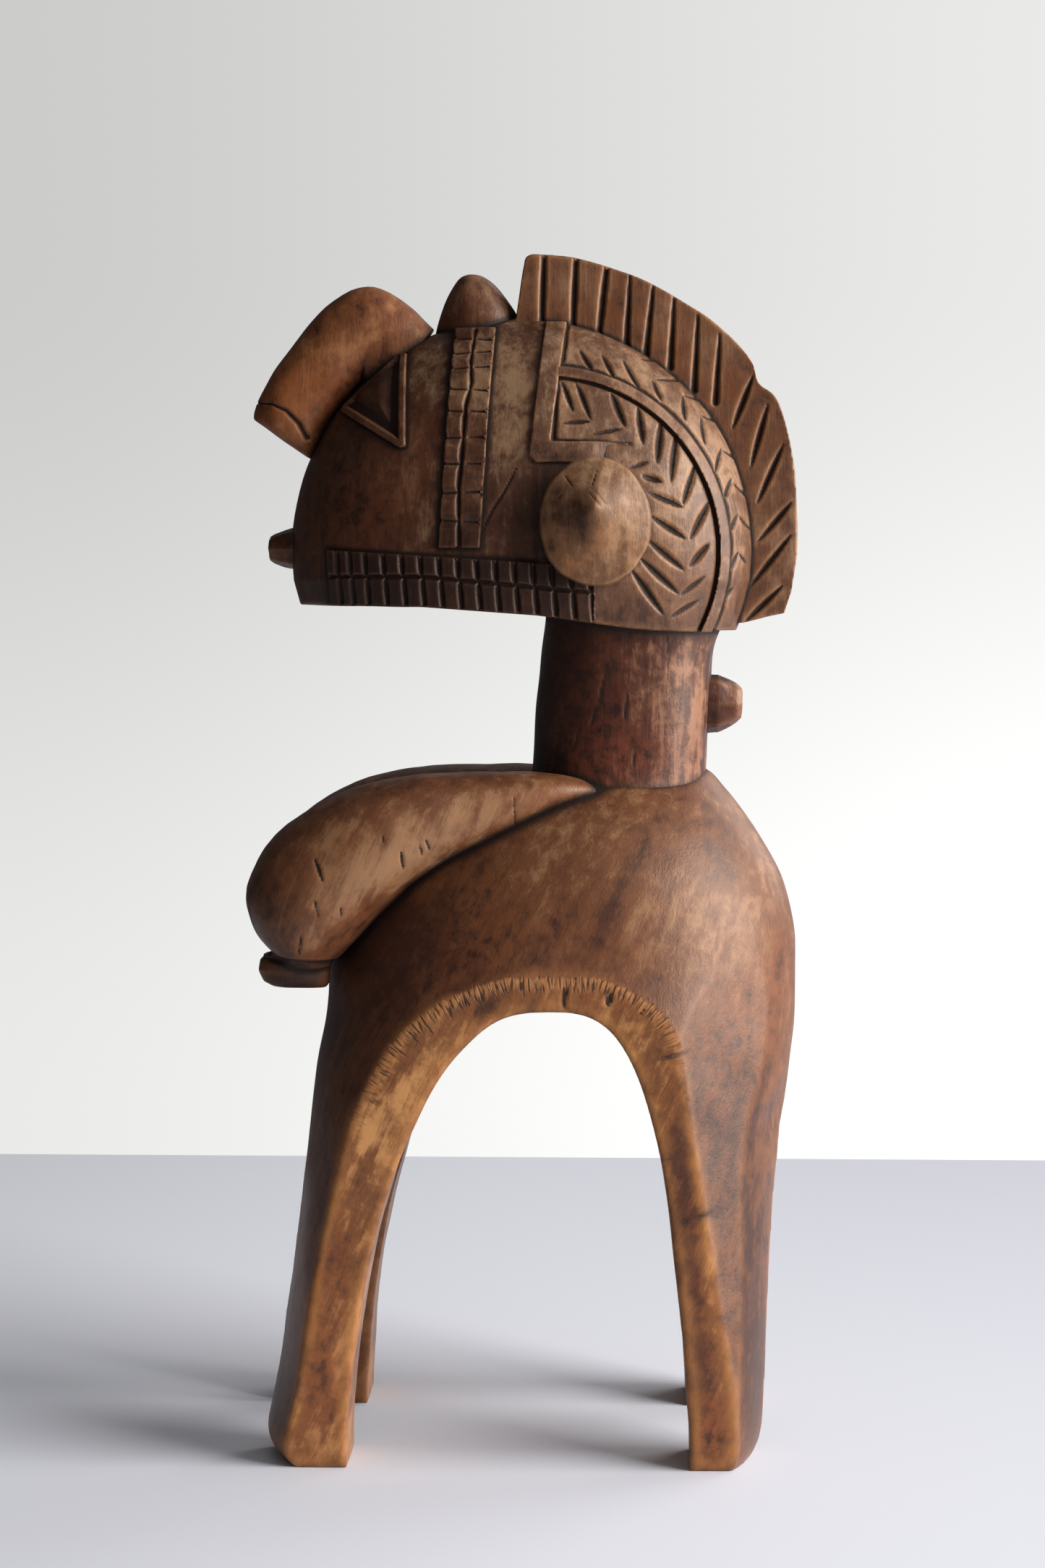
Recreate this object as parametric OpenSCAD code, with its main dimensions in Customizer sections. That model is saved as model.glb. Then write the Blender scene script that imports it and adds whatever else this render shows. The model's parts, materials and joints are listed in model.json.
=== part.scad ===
// Carved wooden shoulder figure: a helmet head with a tall crest, on a column neck, over a
// domed body that stands on four legs. The figure faces -Y, its left side is +X, and its
// soles rest on Z = 0. The members are named as the carver would name them, and they meet
// face to face along the creases and steps of the carving.

/* [Body] */
// Width between the two flat side faces
body_w = 110; // [106:1:114]
// Height of the crown of the side-to-side arch
arch_h = 143; // [138:1:145]
// Width of the side-to-side arch between the soles
arch_w = 107; // [102:1:109]
// Width of the gap between left and right feet
gap_w = 54; // [46:1:60]
// Height of the crown of the front and rear gaps
gap_h = 108; // [106:1:112]
// Height at which the legs spring from the body
leg_top = 100; // [92:1:104]

/* [Neck] */
// Width of the neck
neck_w = 48; // [44:1:52]
// Height of the middle of the lug on the nape
nape_z = 236.5; // [234:0.5:240]

/* [Head] */
// Height of the widest level of the head
head_z = 285; // [283:1:287]
// Length of the head, front to back, without nose and crest
head_l = 148; // [146:1:150]
// Width of the head without ears
head_w = 74; // [70:1:78]
// Rise of the domed top above the widest level
dome_h = 75; // [74:1:76]

/* [Crest] */
// Thickness of the crest
crest_t = 15; // [12:1:18]
// Height of the crest's rim above the widest level of the head
crest_h = 95; // [93:0.5:97]
// Reach of the crest behind the middle of the head
crest_l = 88; // [86:1:90]

/* [Relief] */
// Relief of the cheek and jaw bands
band_t = 1.8; // [1.2:0.1:2.4]
// Relief of the border strips and the braids
strip_t = 1.4; // [1:0.1:2]
// Relief of the eyelids
lid_t = 1.8; // [1.2:0.1:2.4]
// Width of a braid ridge
braid_w = 3.2; // [2.6:0.1:4]
// Radius of the braid ridge's arc
braid_r = 56.5; // [54:0.5:58]

/* [Ears] */
// Half width of an ear in the side view
ear_half_w = 17.3; // [16:0.1:18.5]
// Half height of an ear
ear_half_h = 20.2; // [19:0.1:21]
// How far the ear's point stands out from the middle plane
ear_reach = 54; // [50:1:56]

/* [Hidden] */

dark_wood = [0.30, 0.17, 0.10];
red_wood = [0.38, 0.18, 0.10];
brown_wood = [0.45, 0.27, 0.16];
worn_wood = [0.58, 0.36, 0.19];

// Points round a body ring, a head ring and a small ring.
body_count = 56;
head_count = 64;
limb_count = 28;
stub_count = 8;
ear_count = 36;
bar_count = 16;
braid_count = 96;

// Body: height, front, back, half width, squareness of the plan, and how much the plan
// widens towards the front.
body_rows = [
    [0, -80, 76, 82, 3, 0.02],
    [7, -81.5, 78, 82.5, 2.95, 0.02],
    [26, -77.6, 79.5, 81.8, 2.8, 0.035],
    [60, -73.3, 81, 79.9, 2.6, 0.084],
    [84, -70.4, 82.2, 75.5, 2.5, 0.11],
    [105, -68.2, 84.2, 71.2, 2.4, 0.12],
    [120, -66.5, 86.2, 66.6, 2.38, 0.102],
    [133, -64, 87.6, 63.6, 2.3, 0.09],
    [143, -62.8, 88, 60, 2.25, 0.055],
    [153, -61.8, 88, 55.6, 2.2, 0.02],
    [166, -57, 87.4, 52, 2.15, 0],
    [181, -47, 83.6, 48, 2.1, 0],
    [194, -31, 76.6, 41.5, 2.1, 0],
    [204, -15, 69.6, 33.5, 2.1, 0],
    [210, -6, 64.5, 26.5, 2.1, 0],
    [214.5, 2, 60.5, 19, 2.1, 0],
    [218, 10, 54, 10, 2.1, 0]];

// The side arch: fullness of its shoulders, and its middle, which starts at the offset and
// has moved back by the lean at the given height.
arch_curve = [1.6, 2.7];
arch_offset = 0.5;
arch_lean = 6;
arch_lean_z = 120;
arch_lean_power = 2.6;
arch_levels = 16;
// The gap between left and right legs: fullness of its shoulders.
gap_curve = 2.2;
gap_levels = 12;
// Outlines of the openings run this far below the soles, and the head's cutter this low.
below_floor = -5;
below_chin = 200;

// Neck: the same columns.
neck_rows = [
    [200, 3, 59, neck_w / 2 + 1, 2.4, 0],
    [218, 3.6, 59.2, neck_w / 2, 2.4, 0],
    [240, 5, 60.5, neck_w / 2, 2.4, 0],
    [254, 6.4, 61.8, neck_w / 2 + 0.4, 2.4, 0],
    [264, 7.6, 65.5, neck_w / 2 + 1.5, 2.3, 0],
    [272, 7.6, 68, neck_w / 2 + 2, 2.3, 0]];

// Left breast: depth and height of the middle, half width, half thickness, tilt of the ring.
breast_x = 24.5;
breast_rows = [
    [24, 209.6, 2, 0.8, 100],
    [19, 210, 5.6, 3.2, 100],
    [5.5, 208.8, 11, 7, 108],
    [-16.5, 203.4, 16, 12.6, 106],
    [-36.5, 197.5, 19.8, 16.8, 109],
    [-52.5, 188.6, 22, 20.4, 113],
    [-66.2, 177.2, 22.2, 21.4, 121],
    [-74, 166.5, 19.8, 17.9, 133],
    [-75.4, 159.9, 15, 12, 141],
    [-75, 157, 10, 8, 145]];
nipple_rows = [
    [158, -82, -61, 8],
    [152.5, -83.2, -60.5, 8.4],
    [149, -81.6, -60.6, 7.6],
    [147.2, -78.2, -61.4, 5.8]];

// Squareness of the rings of breast, nipple, nose and knob.
breast_n = 2.15;
nipple_n = 2.4;
nose_n = 2.3;
knob_n = 2.1;

// Short faceted stubs on nape and mouth: depth, half width, half height; squareness.
nape_rows = [[52, 7, 10.4], [63, 7.4, 9.4], [69, 6, 6.2], [70.8, 4.6, 4.8]];
mouth_rows = [[-66, 8, 7.2], [-74, 8, 6.6], [-80, 6.6, 4.9], [-81.6, 5.2, 3.9]];
mouth_z = 286.2;
stub_n = 2.6;

// Nose: depth and height of the middle, half width, half thickness, tilt of the ring.
nose_rows = [
    [-36, 345, 8, 13.8, 55],
    [-46.3, 353.6, 9, 15, 74],
    [-51, 355.4, 9.4, 14.8, 94],
    [-57, 351.8, 9.6, 13, 118],
    [-63, 345, 10, 12.4, 135],
    [-69, 337.6, 10.4, 12.5, 143],
    [-73.6, 329.2, 10.9, 12.5, 146],
    [-75.8, 323.1, 10.9, 12.5, 145],
    [-77.2, 321.3, 8.9, 11.2, 145]];

// Knob on the forehead: height, front, back, half width.
knob_rows = [
    [348, -29, 2, 10],
    [357, -27.5, -0.4, 9.5],
    [364, -25.3, -3.6, 8.6],
    [370, -21.8, -8, 6.6],
    [372.6, -19.6, -11.2, 4.4],
    [373.7, -17, -13.4, 2.2]];

// Scale of the head's ring below its widest level, against depth below that level.
jaw_rows = [[33, 0.91], [24, 0.935], [17, 0.965], [9, 0.992]];
// The dome's rings go up in steps of this angle, then close on a ring of this scale.
dome_step = 5;
dome_tip = 0.02;
// Squareness of the head's plan and of the crest's outline.
skull_n = 2.35;
crest_n = 2.1;
// The crest's outline grows this much squarer towards its back, by a power of the cosine.
crest_swell = 0.7;
crest_swell_power = 4;
// The top and foot of the crest's blunt front edge, and its line inside and under the back of
// the head.
crest_front = 1.2;
crest_foot = [-3.5, 350];
rim_step = 4;
crest_under = [[30, 285], [56, 261.8], [71, 263]];
// The head widens a little towards the back.
skull_flare = 0.08;
// The head's underside in the side view: level under the chin, lowest behind the neck.
underside = [[-90, 268.6], [-30, 267.6], [6, 265], [34, 261.2], [56, 259.6], [90, 261]];

// Cheek band: heights of its ends, depth of its front edge at each, width, and how far from
// the middle plane it starts.
cheek_z = [286, 356];
cheek_y = [-25, -21];
cheek_w = 13;
cheek_x = 3;
// Jaw band: depth of its ends and height of its top edge at each, lean of its front end over
// the whole height of the cutter, and how far from the middle plane it starts.
jaw_y = [-61, 24];
jaw_z = [285.5, 280.3];
jaw_slant = 5;
jaw_x = 5;
// Border of the coiffure: a strip down from the crest, then back to the ear.
border_w = 6.6;
border_corner = [3.2, 312.5];
border_top = [7.8, 358];
border_end = 34;
// Face and coiffure meet under the border strip.
hairline_y = 6.5;
// The braid ridge runs on an arc about this point.
braid_c = [8, 285];
// The ridge starts this far in front of the border strip's back edge.
braid_lap = 1.4;
// Eyelids: outer corner below, top end, front end, width, and how far from the middle plane
// they start.
lid_corner = [-36.8, 318.3];
lid_top = [-37.6, 348];
lid_front = [-56.5, 330.5];
lid_w = 2.5;
lid_x = 8;
// Ear: middle, and where its point sits above the middle.
ear_c = [24, 294];
ear_point_rise = 4;
// Ear rings: reach, scale and share of the point's rise.
ear_rows = [[24, 0.8, 0], [36, 0.86, 0], [41, 0.97, 0], [43, 1, 0], [45, 0.97, 0],
            [47.6, 0.68, 0.25], [51, 0.32, 0.7], [ear_reach - 0.4, 0.1, 0.95],
            [ear_reach, 0.02, 1]];
// Length that is sure to pass through the whole figure.
far = 200;

function signed_pow(v, p) = sign(v) * pow(abs(v), p);

// A superellipse ring. Its second axis leans from +Y towards +Z by the tilt, and the
// flare widens its far end and narrows its near end.
function ring(middle, half_x, half_b, n, tilt, count, flare = 0) = [
    for (i = [0:count - 1])
        let (a = 360 * i / count,
             u = half_x * signed_pow(cos(a), 2 / n),
             v = signed_pow(sin(a), 2 / n))
        middle + [u * (1 + flare * v), half_b * v * cos(tilt), half_b * v * sin(tilt)]];

// A level ring from a row of the body or the neck.
function level_ring(row, count) =
    ring([0, (row[1] + row[2]) / 2, row[0]], row[3], (row[2] - row[1]) / 2, row[4], 0, count,
         -row[5]);

// A ring across a limb, from a row of depth, height, half width, half thickness and tilt.
function limb_ring(row, x, n) = ring([x, row[0], row[1]], row[2], row[3], n, row[4], limb_count);

// Rows between the given ones, on a smooth curve through them.
function between(rows, i, t) =
    let (last = len(rows) - 1,
         p0 = rows[max(i - 1, 0)],
         p1 = rows[i],
         p2 = rows[i + 1],
         p3 = rows[min(i + 2, last)])
    0.5 * (2 * p1 + (p2 - p0) * t + (2 * p0 - 5 * p1 + 4 * p2 - p3) * t * t
           + (3 * p1 - p0 - 3 * p2 + p3) * t * t * t);
function refined(rows, steps) = [
    for (i = [0:len(rows) - 2]) for (k = [0:steps - 1]) between(rows, i, k / steps),
    rows[len(rows) - 1]];

module through_points(points) {
    hull() polyhedron(points, [[for (i = [0:len(points) - 1]) i]]);
}

module loft(rings) {
    for (i = [0:len(rings) - 2]) through_points(concat(rings[i], rings[i + 1]));
}

module on_side(side) {
    mirror([side < 0 ? 1 : 0, 0, 0]) children();
}

// An outline in the side view, extruded along X over the given span.
module side_prism(x0, x1) {
    translate([x0, 0, 0]) rotate([90, 0, 90]) linear_extrude(x1 - x0) children();
}

// ---------- body and legs ----------

function arch_half(z) =
    arch_w / 2 * pow(max(0, 1 - pow(z / arch_h, arch_curve[0])), 1 / arch_curve[1]);
function arch_middle(z) = arch_offset + arch_lean * pow(z / arch_lean_z, arch_lean_power);

module arch_tunnel() {
    levels = [for (k = [0:arch_levels]) arch_h * sin(90 * k / arch_levels)];
    front = [for (z = levels) [arch_middle(z) - arch_half(z), z]];
    back = [for (k = [arch_levels:-1:0])
        [arch_middle(levels[k]) + arch_half(levels[k]), levels[k]]];
    foot = [[arch_offset + arch_w / 2, below_floor], [arch_offset - arch_w / 2, below_floor]];
    side_prism(-far, far) polygon(concat(front, back, foot));
}

module leg_gap() {
    levels = [for (k = [0:gap_levels]) gap_h * sin(90 * k / gap_levels)];
    halves = [for (z = levels)
        gap_w / 2 * pow(max(0, 1 - pow(z / gap_h, gap_curve)), 1 / gap_curve)];
    right = [for (k = [0:gap_levels]) [-halves[k], levels[k]]];
    left = [for (k = [gap_levels:-1:0]) [halves[k], levels[k]]];
    foot = [[gap_w / 2, below_floor], [-gap_w / 2, below_floor]];
    translate([0, far, 0]) rotate([90, 0, 0]) linear_extrude(2 * far)
        polygon(concat(right, left, foot));
}

// The outer form of body and legs together, cut flat at the sides.
module body_blank() {
    intersection() {
        loft([for (row = refined(body_rows, 2)) level_ring(row, body_count)]);
        translate([-body_w / 2, -far, 0]) cube([body_w, 2 * far, far * 2]);
    }
}

module body_shape() {
    difference() {
        body_blank();
        arch_tunnel();
        leg_gap();
    }
}

module torso() {
    color(brown_wood) difference() {
        body_shape();
        translate([-far, -far, leg_top - 2 * far]) cube(2 * far);
    }
}

module leg(side, front) {
    color(worn_wood) on_side(side) intersection() {
        body_shape();
        translate([0, front ? -far : 0, 0]) cube([far, far, leg_top]);
    }
}

module breast_shape() {
    loft([for (row = refined(breast_rows, 2)) limb_ring(row, breast_x, breast_n)]);
    loft([for (row = nipple_rows)
        ring([breast_x, (row[1] + row[2]) / 2, row[0]], row[3], (row[2] - row[1]) / 2,
             nipple_n, 0, limb_count)]);
}

module breast(side) {
    color(brown_wood) on_side(side) difference() {
        breast_shape();
        body_blank();
        neck_shape();
    }
}

// ---------- neck ----------

module neck_shape() {
    loft([for (row = refined(neck_rows, 2)) level_ring(row, body_count)]);
}

// A short faceted stub along Y, from rows of depth, half width and half height.
module stub(rows, z) {
    loft([for (row = rows) ring([0, row[0], z], row[1], row[2], stub_n, 90, stub_count)]);
}

module neck() {
    color(red_wood) difference() {
        neck_shape();
        body_blank();
        head_shape();
    }
}

module nape_lug() {
    color(red_wood) difference() {
        stub(nape_rows, nape_z);
        neck_shape();
    }
}

// ---------- head ----------

// The head as one helmet, grown outwards by t, before its underside is cut.
module helmet(t) {
    domed = [for (a = [0:dome_step:90 - dome_step]) [head_z + (dome_h + t) * sin(a), cos(a)]];
    below = [for (row = jaw_rows) [head_z - row[0], row[1]]];
    levels = concat(below, domed, [[head_z + dome_h + t, dome_tip]]);
    loft([for (level = levels)
        ring([0, 0, level[0]], (head_w / 2 + t) * level[1], (head_l / 2 + t) * level[1],
             skull_n, 0, head_count, skull_flare)]);
}

module below_head() {
    side_prism(-far, far) polygon(concat(underside, [[90, below_chin], [-90, below_chin]]));
}

module head_shape() {
    difference() {
        helmet(0);
        below_head();
    }
}

// Relief on the head, t high, over an outline in the side view from x0 outwards.
module relief(t, x0) {
    difference() {
        intersection() {
            helmet(t);
            side_prism(x0, far) children();
        }
        helmet(0);
        below_head();
    }
}

module face() {
    color(dark_wood) intersection() {
        head_shape();
        translate([-far, hairline_y - 2 * far, 0]) cube(2 * far);
    }
}

module coiffure() {
    color(brown_wood) intersection() {
        head_shape();
        translate([-far, hairline_y, 0]) cube([2 * far, far, 2 * far]);
    }
}

// Squareness of the crest's outline at an angle above its back.
function rim_n(a) = crest_n + crest_swell * pow(cos(a), crest_swell_power);

module crest_plate() {
    rim = [for (a = [0:rim_step:84])
        [crest_l * signed_pow(cos(a), 2 / rim_n(a)),
         head_z + crest_h * signed_pow(sin(a), 2 / rim_n(a))]];
    front = [[crest_front, head_z + crest_h], crest_foot];
    heel = [[crest_l - 4, 266], [crest_l - 1.6, 273]];
    side_prism(-crest_t / 2, crest_t / 2) polygon(concat(rim, front, crest_under, heel));
}

module crest() {
    color(worn_wood) difference() {
        crest_plate();
        head_shape();
    }
}

module knob_shape() {
    loft([for (row = refined(knob_rows, 2))
        ring([0, (row[1] + row[2]) / 2, row[0]], row[3], (row[2] - row[1]) / 2,
             knob_n, 0, limb_count)]);
}

module forehead_knob() {
    color(dark_wood) difference() {
        knob_shape();
        head_shape();
        crest_plate();
        nose_shape();
    }
}

module nose_shape() {
    loft([for (row = refined(nose_rows, 2)) limb_ring(row, 0, nose_n)]);
}

module nose() {
    color(worn_wood) difference() {
        nose_shape();
        head_shape();
    }
}

module mouth_lug() {
    color(dark_wood) difference() {
        stub(mouth_rows, mouth_z);
        head_shape();
    }
}

// A straight bar in the side view between two points.
module bar(a, b, w) {
    hull() {
        translate(a) circle(d = w, $fn = bar_count);
        translate(b) circle(d = w, $fn = bar_count);
    }
}

module eye(side) {
    color(dark_wood) on_side(side) difference() {
        relief(lid_t, lid_x) {
            bar(lid_corner, lid_top, lid_w);
            bar(lid_corner, lid_front, lid_w);
            polygon([lid_corner, lid_top, lid_front]);
        }
        nose_shape();
    }
}

module cheek_outline() {
    polygon([[cheek_y[0], cheek_z[0]], [cheek_y[0] + cheek_w, cheek_z[0]],
             [cheek_y[1] + cheek_w, cheek_z[1]], [cheek_y[1], cheek_z[1]]]);
}

module cheek_band(side) {
    color(dark_wood) on_side(side) difference() {
        relief(band_t, cheek_x) cheek_outline();
        knob_shape();
    }
}

module jaw_outline() {
    polygon([[jaw_y[0], jaw_z[0]], [jaw_y[1], jaw_z[1]],
             [jaw_y[1], below_chin], [jaw_y[0] + jaw_slant, below_chin]]);
}

module jaw_band(side) {
    color(dark_wood) on_side(side) difference() {
        relief(band_t, jaw_x) jaw_outline();
        ear_shape();
    }
}

// An ear is a low cone on a rounded rim.
module ear_shape() {
    translate([0, ear_c[0], ear_c[1]]) rotate([90, 0, 90])
        loft([for (row = ear_rows)
            ring([0, ear_point_rise * row[2], row[0]], ear_half_w * row[1],
                 ear_half_h * row[1], 2, 0, ear_count)]);
}

module ear(side) {
    color(brown_wood) on_side(side) difference() {
        ear_shape();
        head_shape();
    }
}

module border_outline() {
    polygon([border_top, [border_top[0] + border_w, border_top[1]],
             border_corner + [border_w, border_w], [border_end, border_corner[1] + border_w],
             [border_end, border_corner[1]], border_corner]);
}

module border(side) {
    color(brown_wood) on_side(side) difference() {
        relief(strip_t, crest_t / 2) border_outline();
        ear_shape();
    }
}

module braid_outline() {
    intersection() {
        translate(braid_c) difference() {
            circle(r = braid_r + braid_w / 2, $fn = braid_count);
            circle(r = braid_r - braid_w / 2, $fn = braid_count);
        }
        translate([border_top[0] + border_w - braid_lap, 0]) square([far, 2 * far]);
    }
}

module braid(side) {
    color(brown_wood) on_side(side) difference() {
        relief(strip_t, crest_t / 2) braid_outline();
        side_prism(0, far) border_outline();
    }
}

torso();
leg(1, true);  // leg_front_left
leg(-1, true);  // leg_front_right
leg(1, false);  // leg_rear_left
leg(-1, false);  // leg_rear_right
breast(1);  // breast_left
breast(-1);  // breast_right
neck();
nape_lug();
face();
coiffure();
crest();
forehead_knob();
nose();
mouth_lug();
eye(1);  // eye_left
eye(-1);  // eye_right
cheek_band(1);  // cheek_band_left
cheek_band(-1);  // cheek_band_right
jaw_band(1);  // jaw_band_left
jaw_band(-1);  // jaw_band_right
ear(1);  // ear_left
ear(-1);  // ear_right
border(1);  // border_left
border(-1);  // border_right
braid(1);  // braid_left
braid(-1);  // braid_right
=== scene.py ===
import json
import math

import bmesh
import bpy
import numpy as np
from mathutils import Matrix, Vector
from mathutils.bvhtree import BVHTree


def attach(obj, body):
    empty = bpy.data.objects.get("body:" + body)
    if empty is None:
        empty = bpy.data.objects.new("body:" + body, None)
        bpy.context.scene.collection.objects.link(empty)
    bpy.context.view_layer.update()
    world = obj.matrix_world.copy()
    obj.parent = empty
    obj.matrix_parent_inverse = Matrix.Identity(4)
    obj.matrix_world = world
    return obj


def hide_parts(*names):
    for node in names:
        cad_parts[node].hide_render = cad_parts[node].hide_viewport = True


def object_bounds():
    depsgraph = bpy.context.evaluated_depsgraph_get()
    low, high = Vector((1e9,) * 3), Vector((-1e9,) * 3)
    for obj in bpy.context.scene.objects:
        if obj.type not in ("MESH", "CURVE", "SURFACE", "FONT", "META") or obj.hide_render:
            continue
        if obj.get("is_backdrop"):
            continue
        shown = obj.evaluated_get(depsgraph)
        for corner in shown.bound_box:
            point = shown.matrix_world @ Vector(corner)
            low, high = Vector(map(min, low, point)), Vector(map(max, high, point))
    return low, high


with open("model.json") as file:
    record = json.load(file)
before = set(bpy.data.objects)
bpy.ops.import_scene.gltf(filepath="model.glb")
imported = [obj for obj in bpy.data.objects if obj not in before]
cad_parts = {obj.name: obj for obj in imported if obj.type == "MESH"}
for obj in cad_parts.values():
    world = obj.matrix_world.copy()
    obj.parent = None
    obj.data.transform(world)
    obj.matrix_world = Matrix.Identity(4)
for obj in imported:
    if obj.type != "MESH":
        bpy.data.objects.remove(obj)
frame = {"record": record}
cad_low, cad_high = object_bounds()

# Lengths are millimetres in the tables below, and metres in the finished meshes.
MM = 0.001
FAR = 200.0

# Size of the skin's faces on each part of the carving.
BODY_SKIN = 0.95
HEAD_SKIN = 0.55
CREST_SKIN = 0.5
LIMB_SKIN = 0.7
BAND_SKIN = 0.36
SMALL_SKIN = 0.45


# ---------- forms, as the members were roughed out ----------

def signed_pow(v, p):
    return np.sign(v) * np.abs(v) ** p


def ring(middle, half_x, half_b, n, tilt=0.0, count=96, flare=0.0):
    """A rounded-square hoop; its second axis leans from the back towards the top."""
    a = np.radians(np.arange(count) * 360.0 / count)
    u = half_x * signed_pow(np.cos(a), 2 / n)
    v = signed_pow(np.sin(a), 2 / n)
    lean = math.radians(tilt)
    return np.stack([middle[0] + u * (1 + flare * v),
                     middle[1] + half_b * v * math.cos(lean),
                     middle[2] + half_b * v * math.sin(lean)], 1)


def refined(rows, steps):
    """Rows between the given ones, on a smooth curve through them."""
    rows = np.array(rows, float)
    last = len(rows) - 1
    made = []
    for i in range(last):
        p0, p1, p2, p3 = (rows[max(i - 1, 0)], rows[i], rows[i + 1], rows[min(i + 2, last)])
        for t in np.arange(steps) / steps:
            made.append(0.5 * (2 * p1 + (p2 - p0) * t + (2 * p0 - 5 * p1 + 4 * p2 - p3) * t * t
                               + (3 * p1 - p0 - 3 * p2 + p3) * t ** 3))
    return made + [rows[last]]


def piece_from(name, bm):
    mesh = bpy.data.meshes.new(name)
    bm.to_mesh(mesh)
    bm.free()
    piece = bpy.data.objects.new(name, mesh)
    bpy.context.scene.collection.objects.link(piece)
    return piece


def loft(name, hoops):
    """Walls bridged from hoop to hoop, with a flat lid on each end."""
    bm = bmesh.new()
    loops = []
    for points in hoops:
        verts = [bm.verts.new(Vector(p) * MM) for p in points]
        loops.append([bm.edges.new(pair) for pair in zip(verts, verts[1:] + verts[:1])])
    for lower, upper in zip(loops, loops[1:]):
        bmesh.ops.bridge_loops(bm, edges=lower + upper)
    for end in (loops[0], loops[-1]):
        bmesh.ops.edgeloop_fill(bm, edges=end)
    bmesh.ops.recalc_face_normals(bm, faces=bm.faces)
    return piece_from(name, bm)


def level_ring(row, count=112):
    z, front, back, half, n = row[:5]
    flare = -row[5] if len(row) > 5 else 0.0
    return ring((0, (front + back) / 2, z), half, (back - front) / 2, n, 0, count, flare)


def side_prism(name, outline, x0, x1):
    """An outline in the side view, (y, z), run straight across from x0 to x1."""
    return loft(name, [[(x, y, z) for y, z in outline] for x in (x0, x1)])


def settle(piece):
    """Makes the piece's modifiers part of its mesh."""
    made = bpy.data.meshes.new_from_object(
        piece.evaluated_get(bpy.context.evaluated_depsgraph_get()))
    piece.modifiers.clear()
    piece.data = made
    return piece


def cut(piece, cutter, how="DIFFERENCE"):
    m = piece.modifiers.new("cut", "BOOLEAN")
    m.operation, m.solver, m.object = how, "MANIFOLD", cutter
    settle(piece)
    bpy.data.objects.remove(cutter)
    return piece


def skin(piece, size, soften=3):
    """One even skin over the roughed-out form, with its edges a little worn."""
    m = piece.modifiers.new("skin", "REMESH")
    m.mode, m.voxel_size, m.adaptivity = "VOXEL", size * MM, 0
    if soften:
        s = piece.modifiers.new("wear", "SMOOTH")
        s.factor, s.iterations = 0.5, soften
    return settle(piece)


def shave(piece, through, normal):
    """Cuts away what lies beyond a plane, and closes the cut."""
    bm = bmesh.new()
    bm.from_mesh(piece.data)
    found = bmesh.ops.bisect_plane(
        bm, geom=bm.verts[:] + bm.edges[:] + bm.faces[:], dist=1e-7,
        plane_co=Vector(through) * MM, plane_no=Vector(normal), clear_outer=True)
    edges = [g for g in found["geom_cut"] if isinstance(g, bmesh.types.BMEdge)]
    if edges:
        bmesh.ops.holes_fill(bm, edges=edges, sides=0)
        for edge in edges:
            edge.smooth = False
    bm.to_mesh(piece.data)
    bm.free()
    return piece


def copy_of(piece, name):
    twin = bpy.data.objects.new(name, piece.data.copy())
    bpy.context.scene.collection.objects.link(twin)
    return twin


# ---------- points, fields and knife work ----------

def read(items, field, width):
    values = np.empty(len(items) * width, np.float32)
    items.foreach_get(field, values)
    return values.astype(float)


def points_of(piece):
    return read(piece.data.vertices, "co", 3).reshape(-1, 3) / MM


def normals_of(piece):
    return read(piece.data.vertex_normals, "vector", 3).reshape(-1, 3)


def place(piece, points):
    piece.data.vertices.foreach_set("co", (points * MM).astype(np.float32).ravel())
    piece.data.update()


def waves(points, seed, length, count=16):
    """Soft unevenness with bumps of about this length, mostly between -1 and 1."""
    rng = np.random.default_rng(seed)
    way = rng.normal(size=(count, 3))
    way *= (rng.uniform(0.7, 1.5, count) * math.pi / length
            / np.linalg.norm(way, axis=1))[:, None]
    phase = rng.uniform(0, 2 * math.pi, count)
    return np.sin(points @ way.T + phase).sum(1) / math.sqrt(count)


def smooth_step(v, low, high):
    t = np.clip((v - low) / (high - low), 0, 1)
    return t * t * (3 - 2 * t)


def spans_of(line):
    return np.linalg.norm(np.diff(line, axis=0), axis=1)


def near_line(yz, line):
    """Distance from each point to a line of corners, and how far along it that is, 0 to 1."""
    line = np.array(line, float)
    spans = spans_of(line)
    total = spans.sum()
    best = np.full(len(yz), 1e9)
    share = np.zeros(len(yz))
    done = 0.0
    for a, b, span in zip(line, line[1:], spans):
        along = (b - a) / span
        t = np.clip((yz - a) @ along, 0, span)
        d = np.linalg.norm(yz - (a + t[:, None] * along), axis=1)
        closer = d < best
        best[closer] = d[closer]
        share[closer] = ((done + t) / total)[closer]
        done += span
    return best, share


# How a stroke's width runs from its start to its end.
TAPER = {
    "even": lambda t: 0.75 + 0.25 * np.clip(np.sin(math.pi * t), 0, 1),
    "lens": lambda t: np.clip(np.sin(math.pi * t), 0.02, 1) ** 0.6,
    "flick": lambda t: (1 - t) ** 0.6 * 0.95 + 0.05,
    "stab": lambda t: np.clip(t, 0, 1) ** 0.6 * 0.95 + 0.05,
    "wedge": lambda t: np.clip(t, 0, 1) ** 0.35,
}


def stroke_depth(yz, cuts):
    """The deepest of the knife cuts at each point. A cut is its line, width, depth and
    taper."""
    depth = np.zeros(len(yz))
    for line, width, deep, taper in cuts:
        box = np.array(line)
        low, high = box.min(0) - width, box.max(0) + width
        here = np.nonzero(((yz > low) & (yz < high)).all(1))[0]
        if len(here):
            d, t = near_line(yz[here], line)
            fat = TAPER[taper](t)
            flank = np.clip(1 - d / (width / 2 * fat), 0, 1)
            groove = deep * fat * np.sqrt(flank) * (0.4 + 0.6 * flank)
            depth[here] = np.maximum(depth[here], groove)
    return depth


def strokes(width, depth, taper, *lines):
    return [(list(line), width, depth, taper) for line in lines]


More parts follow.
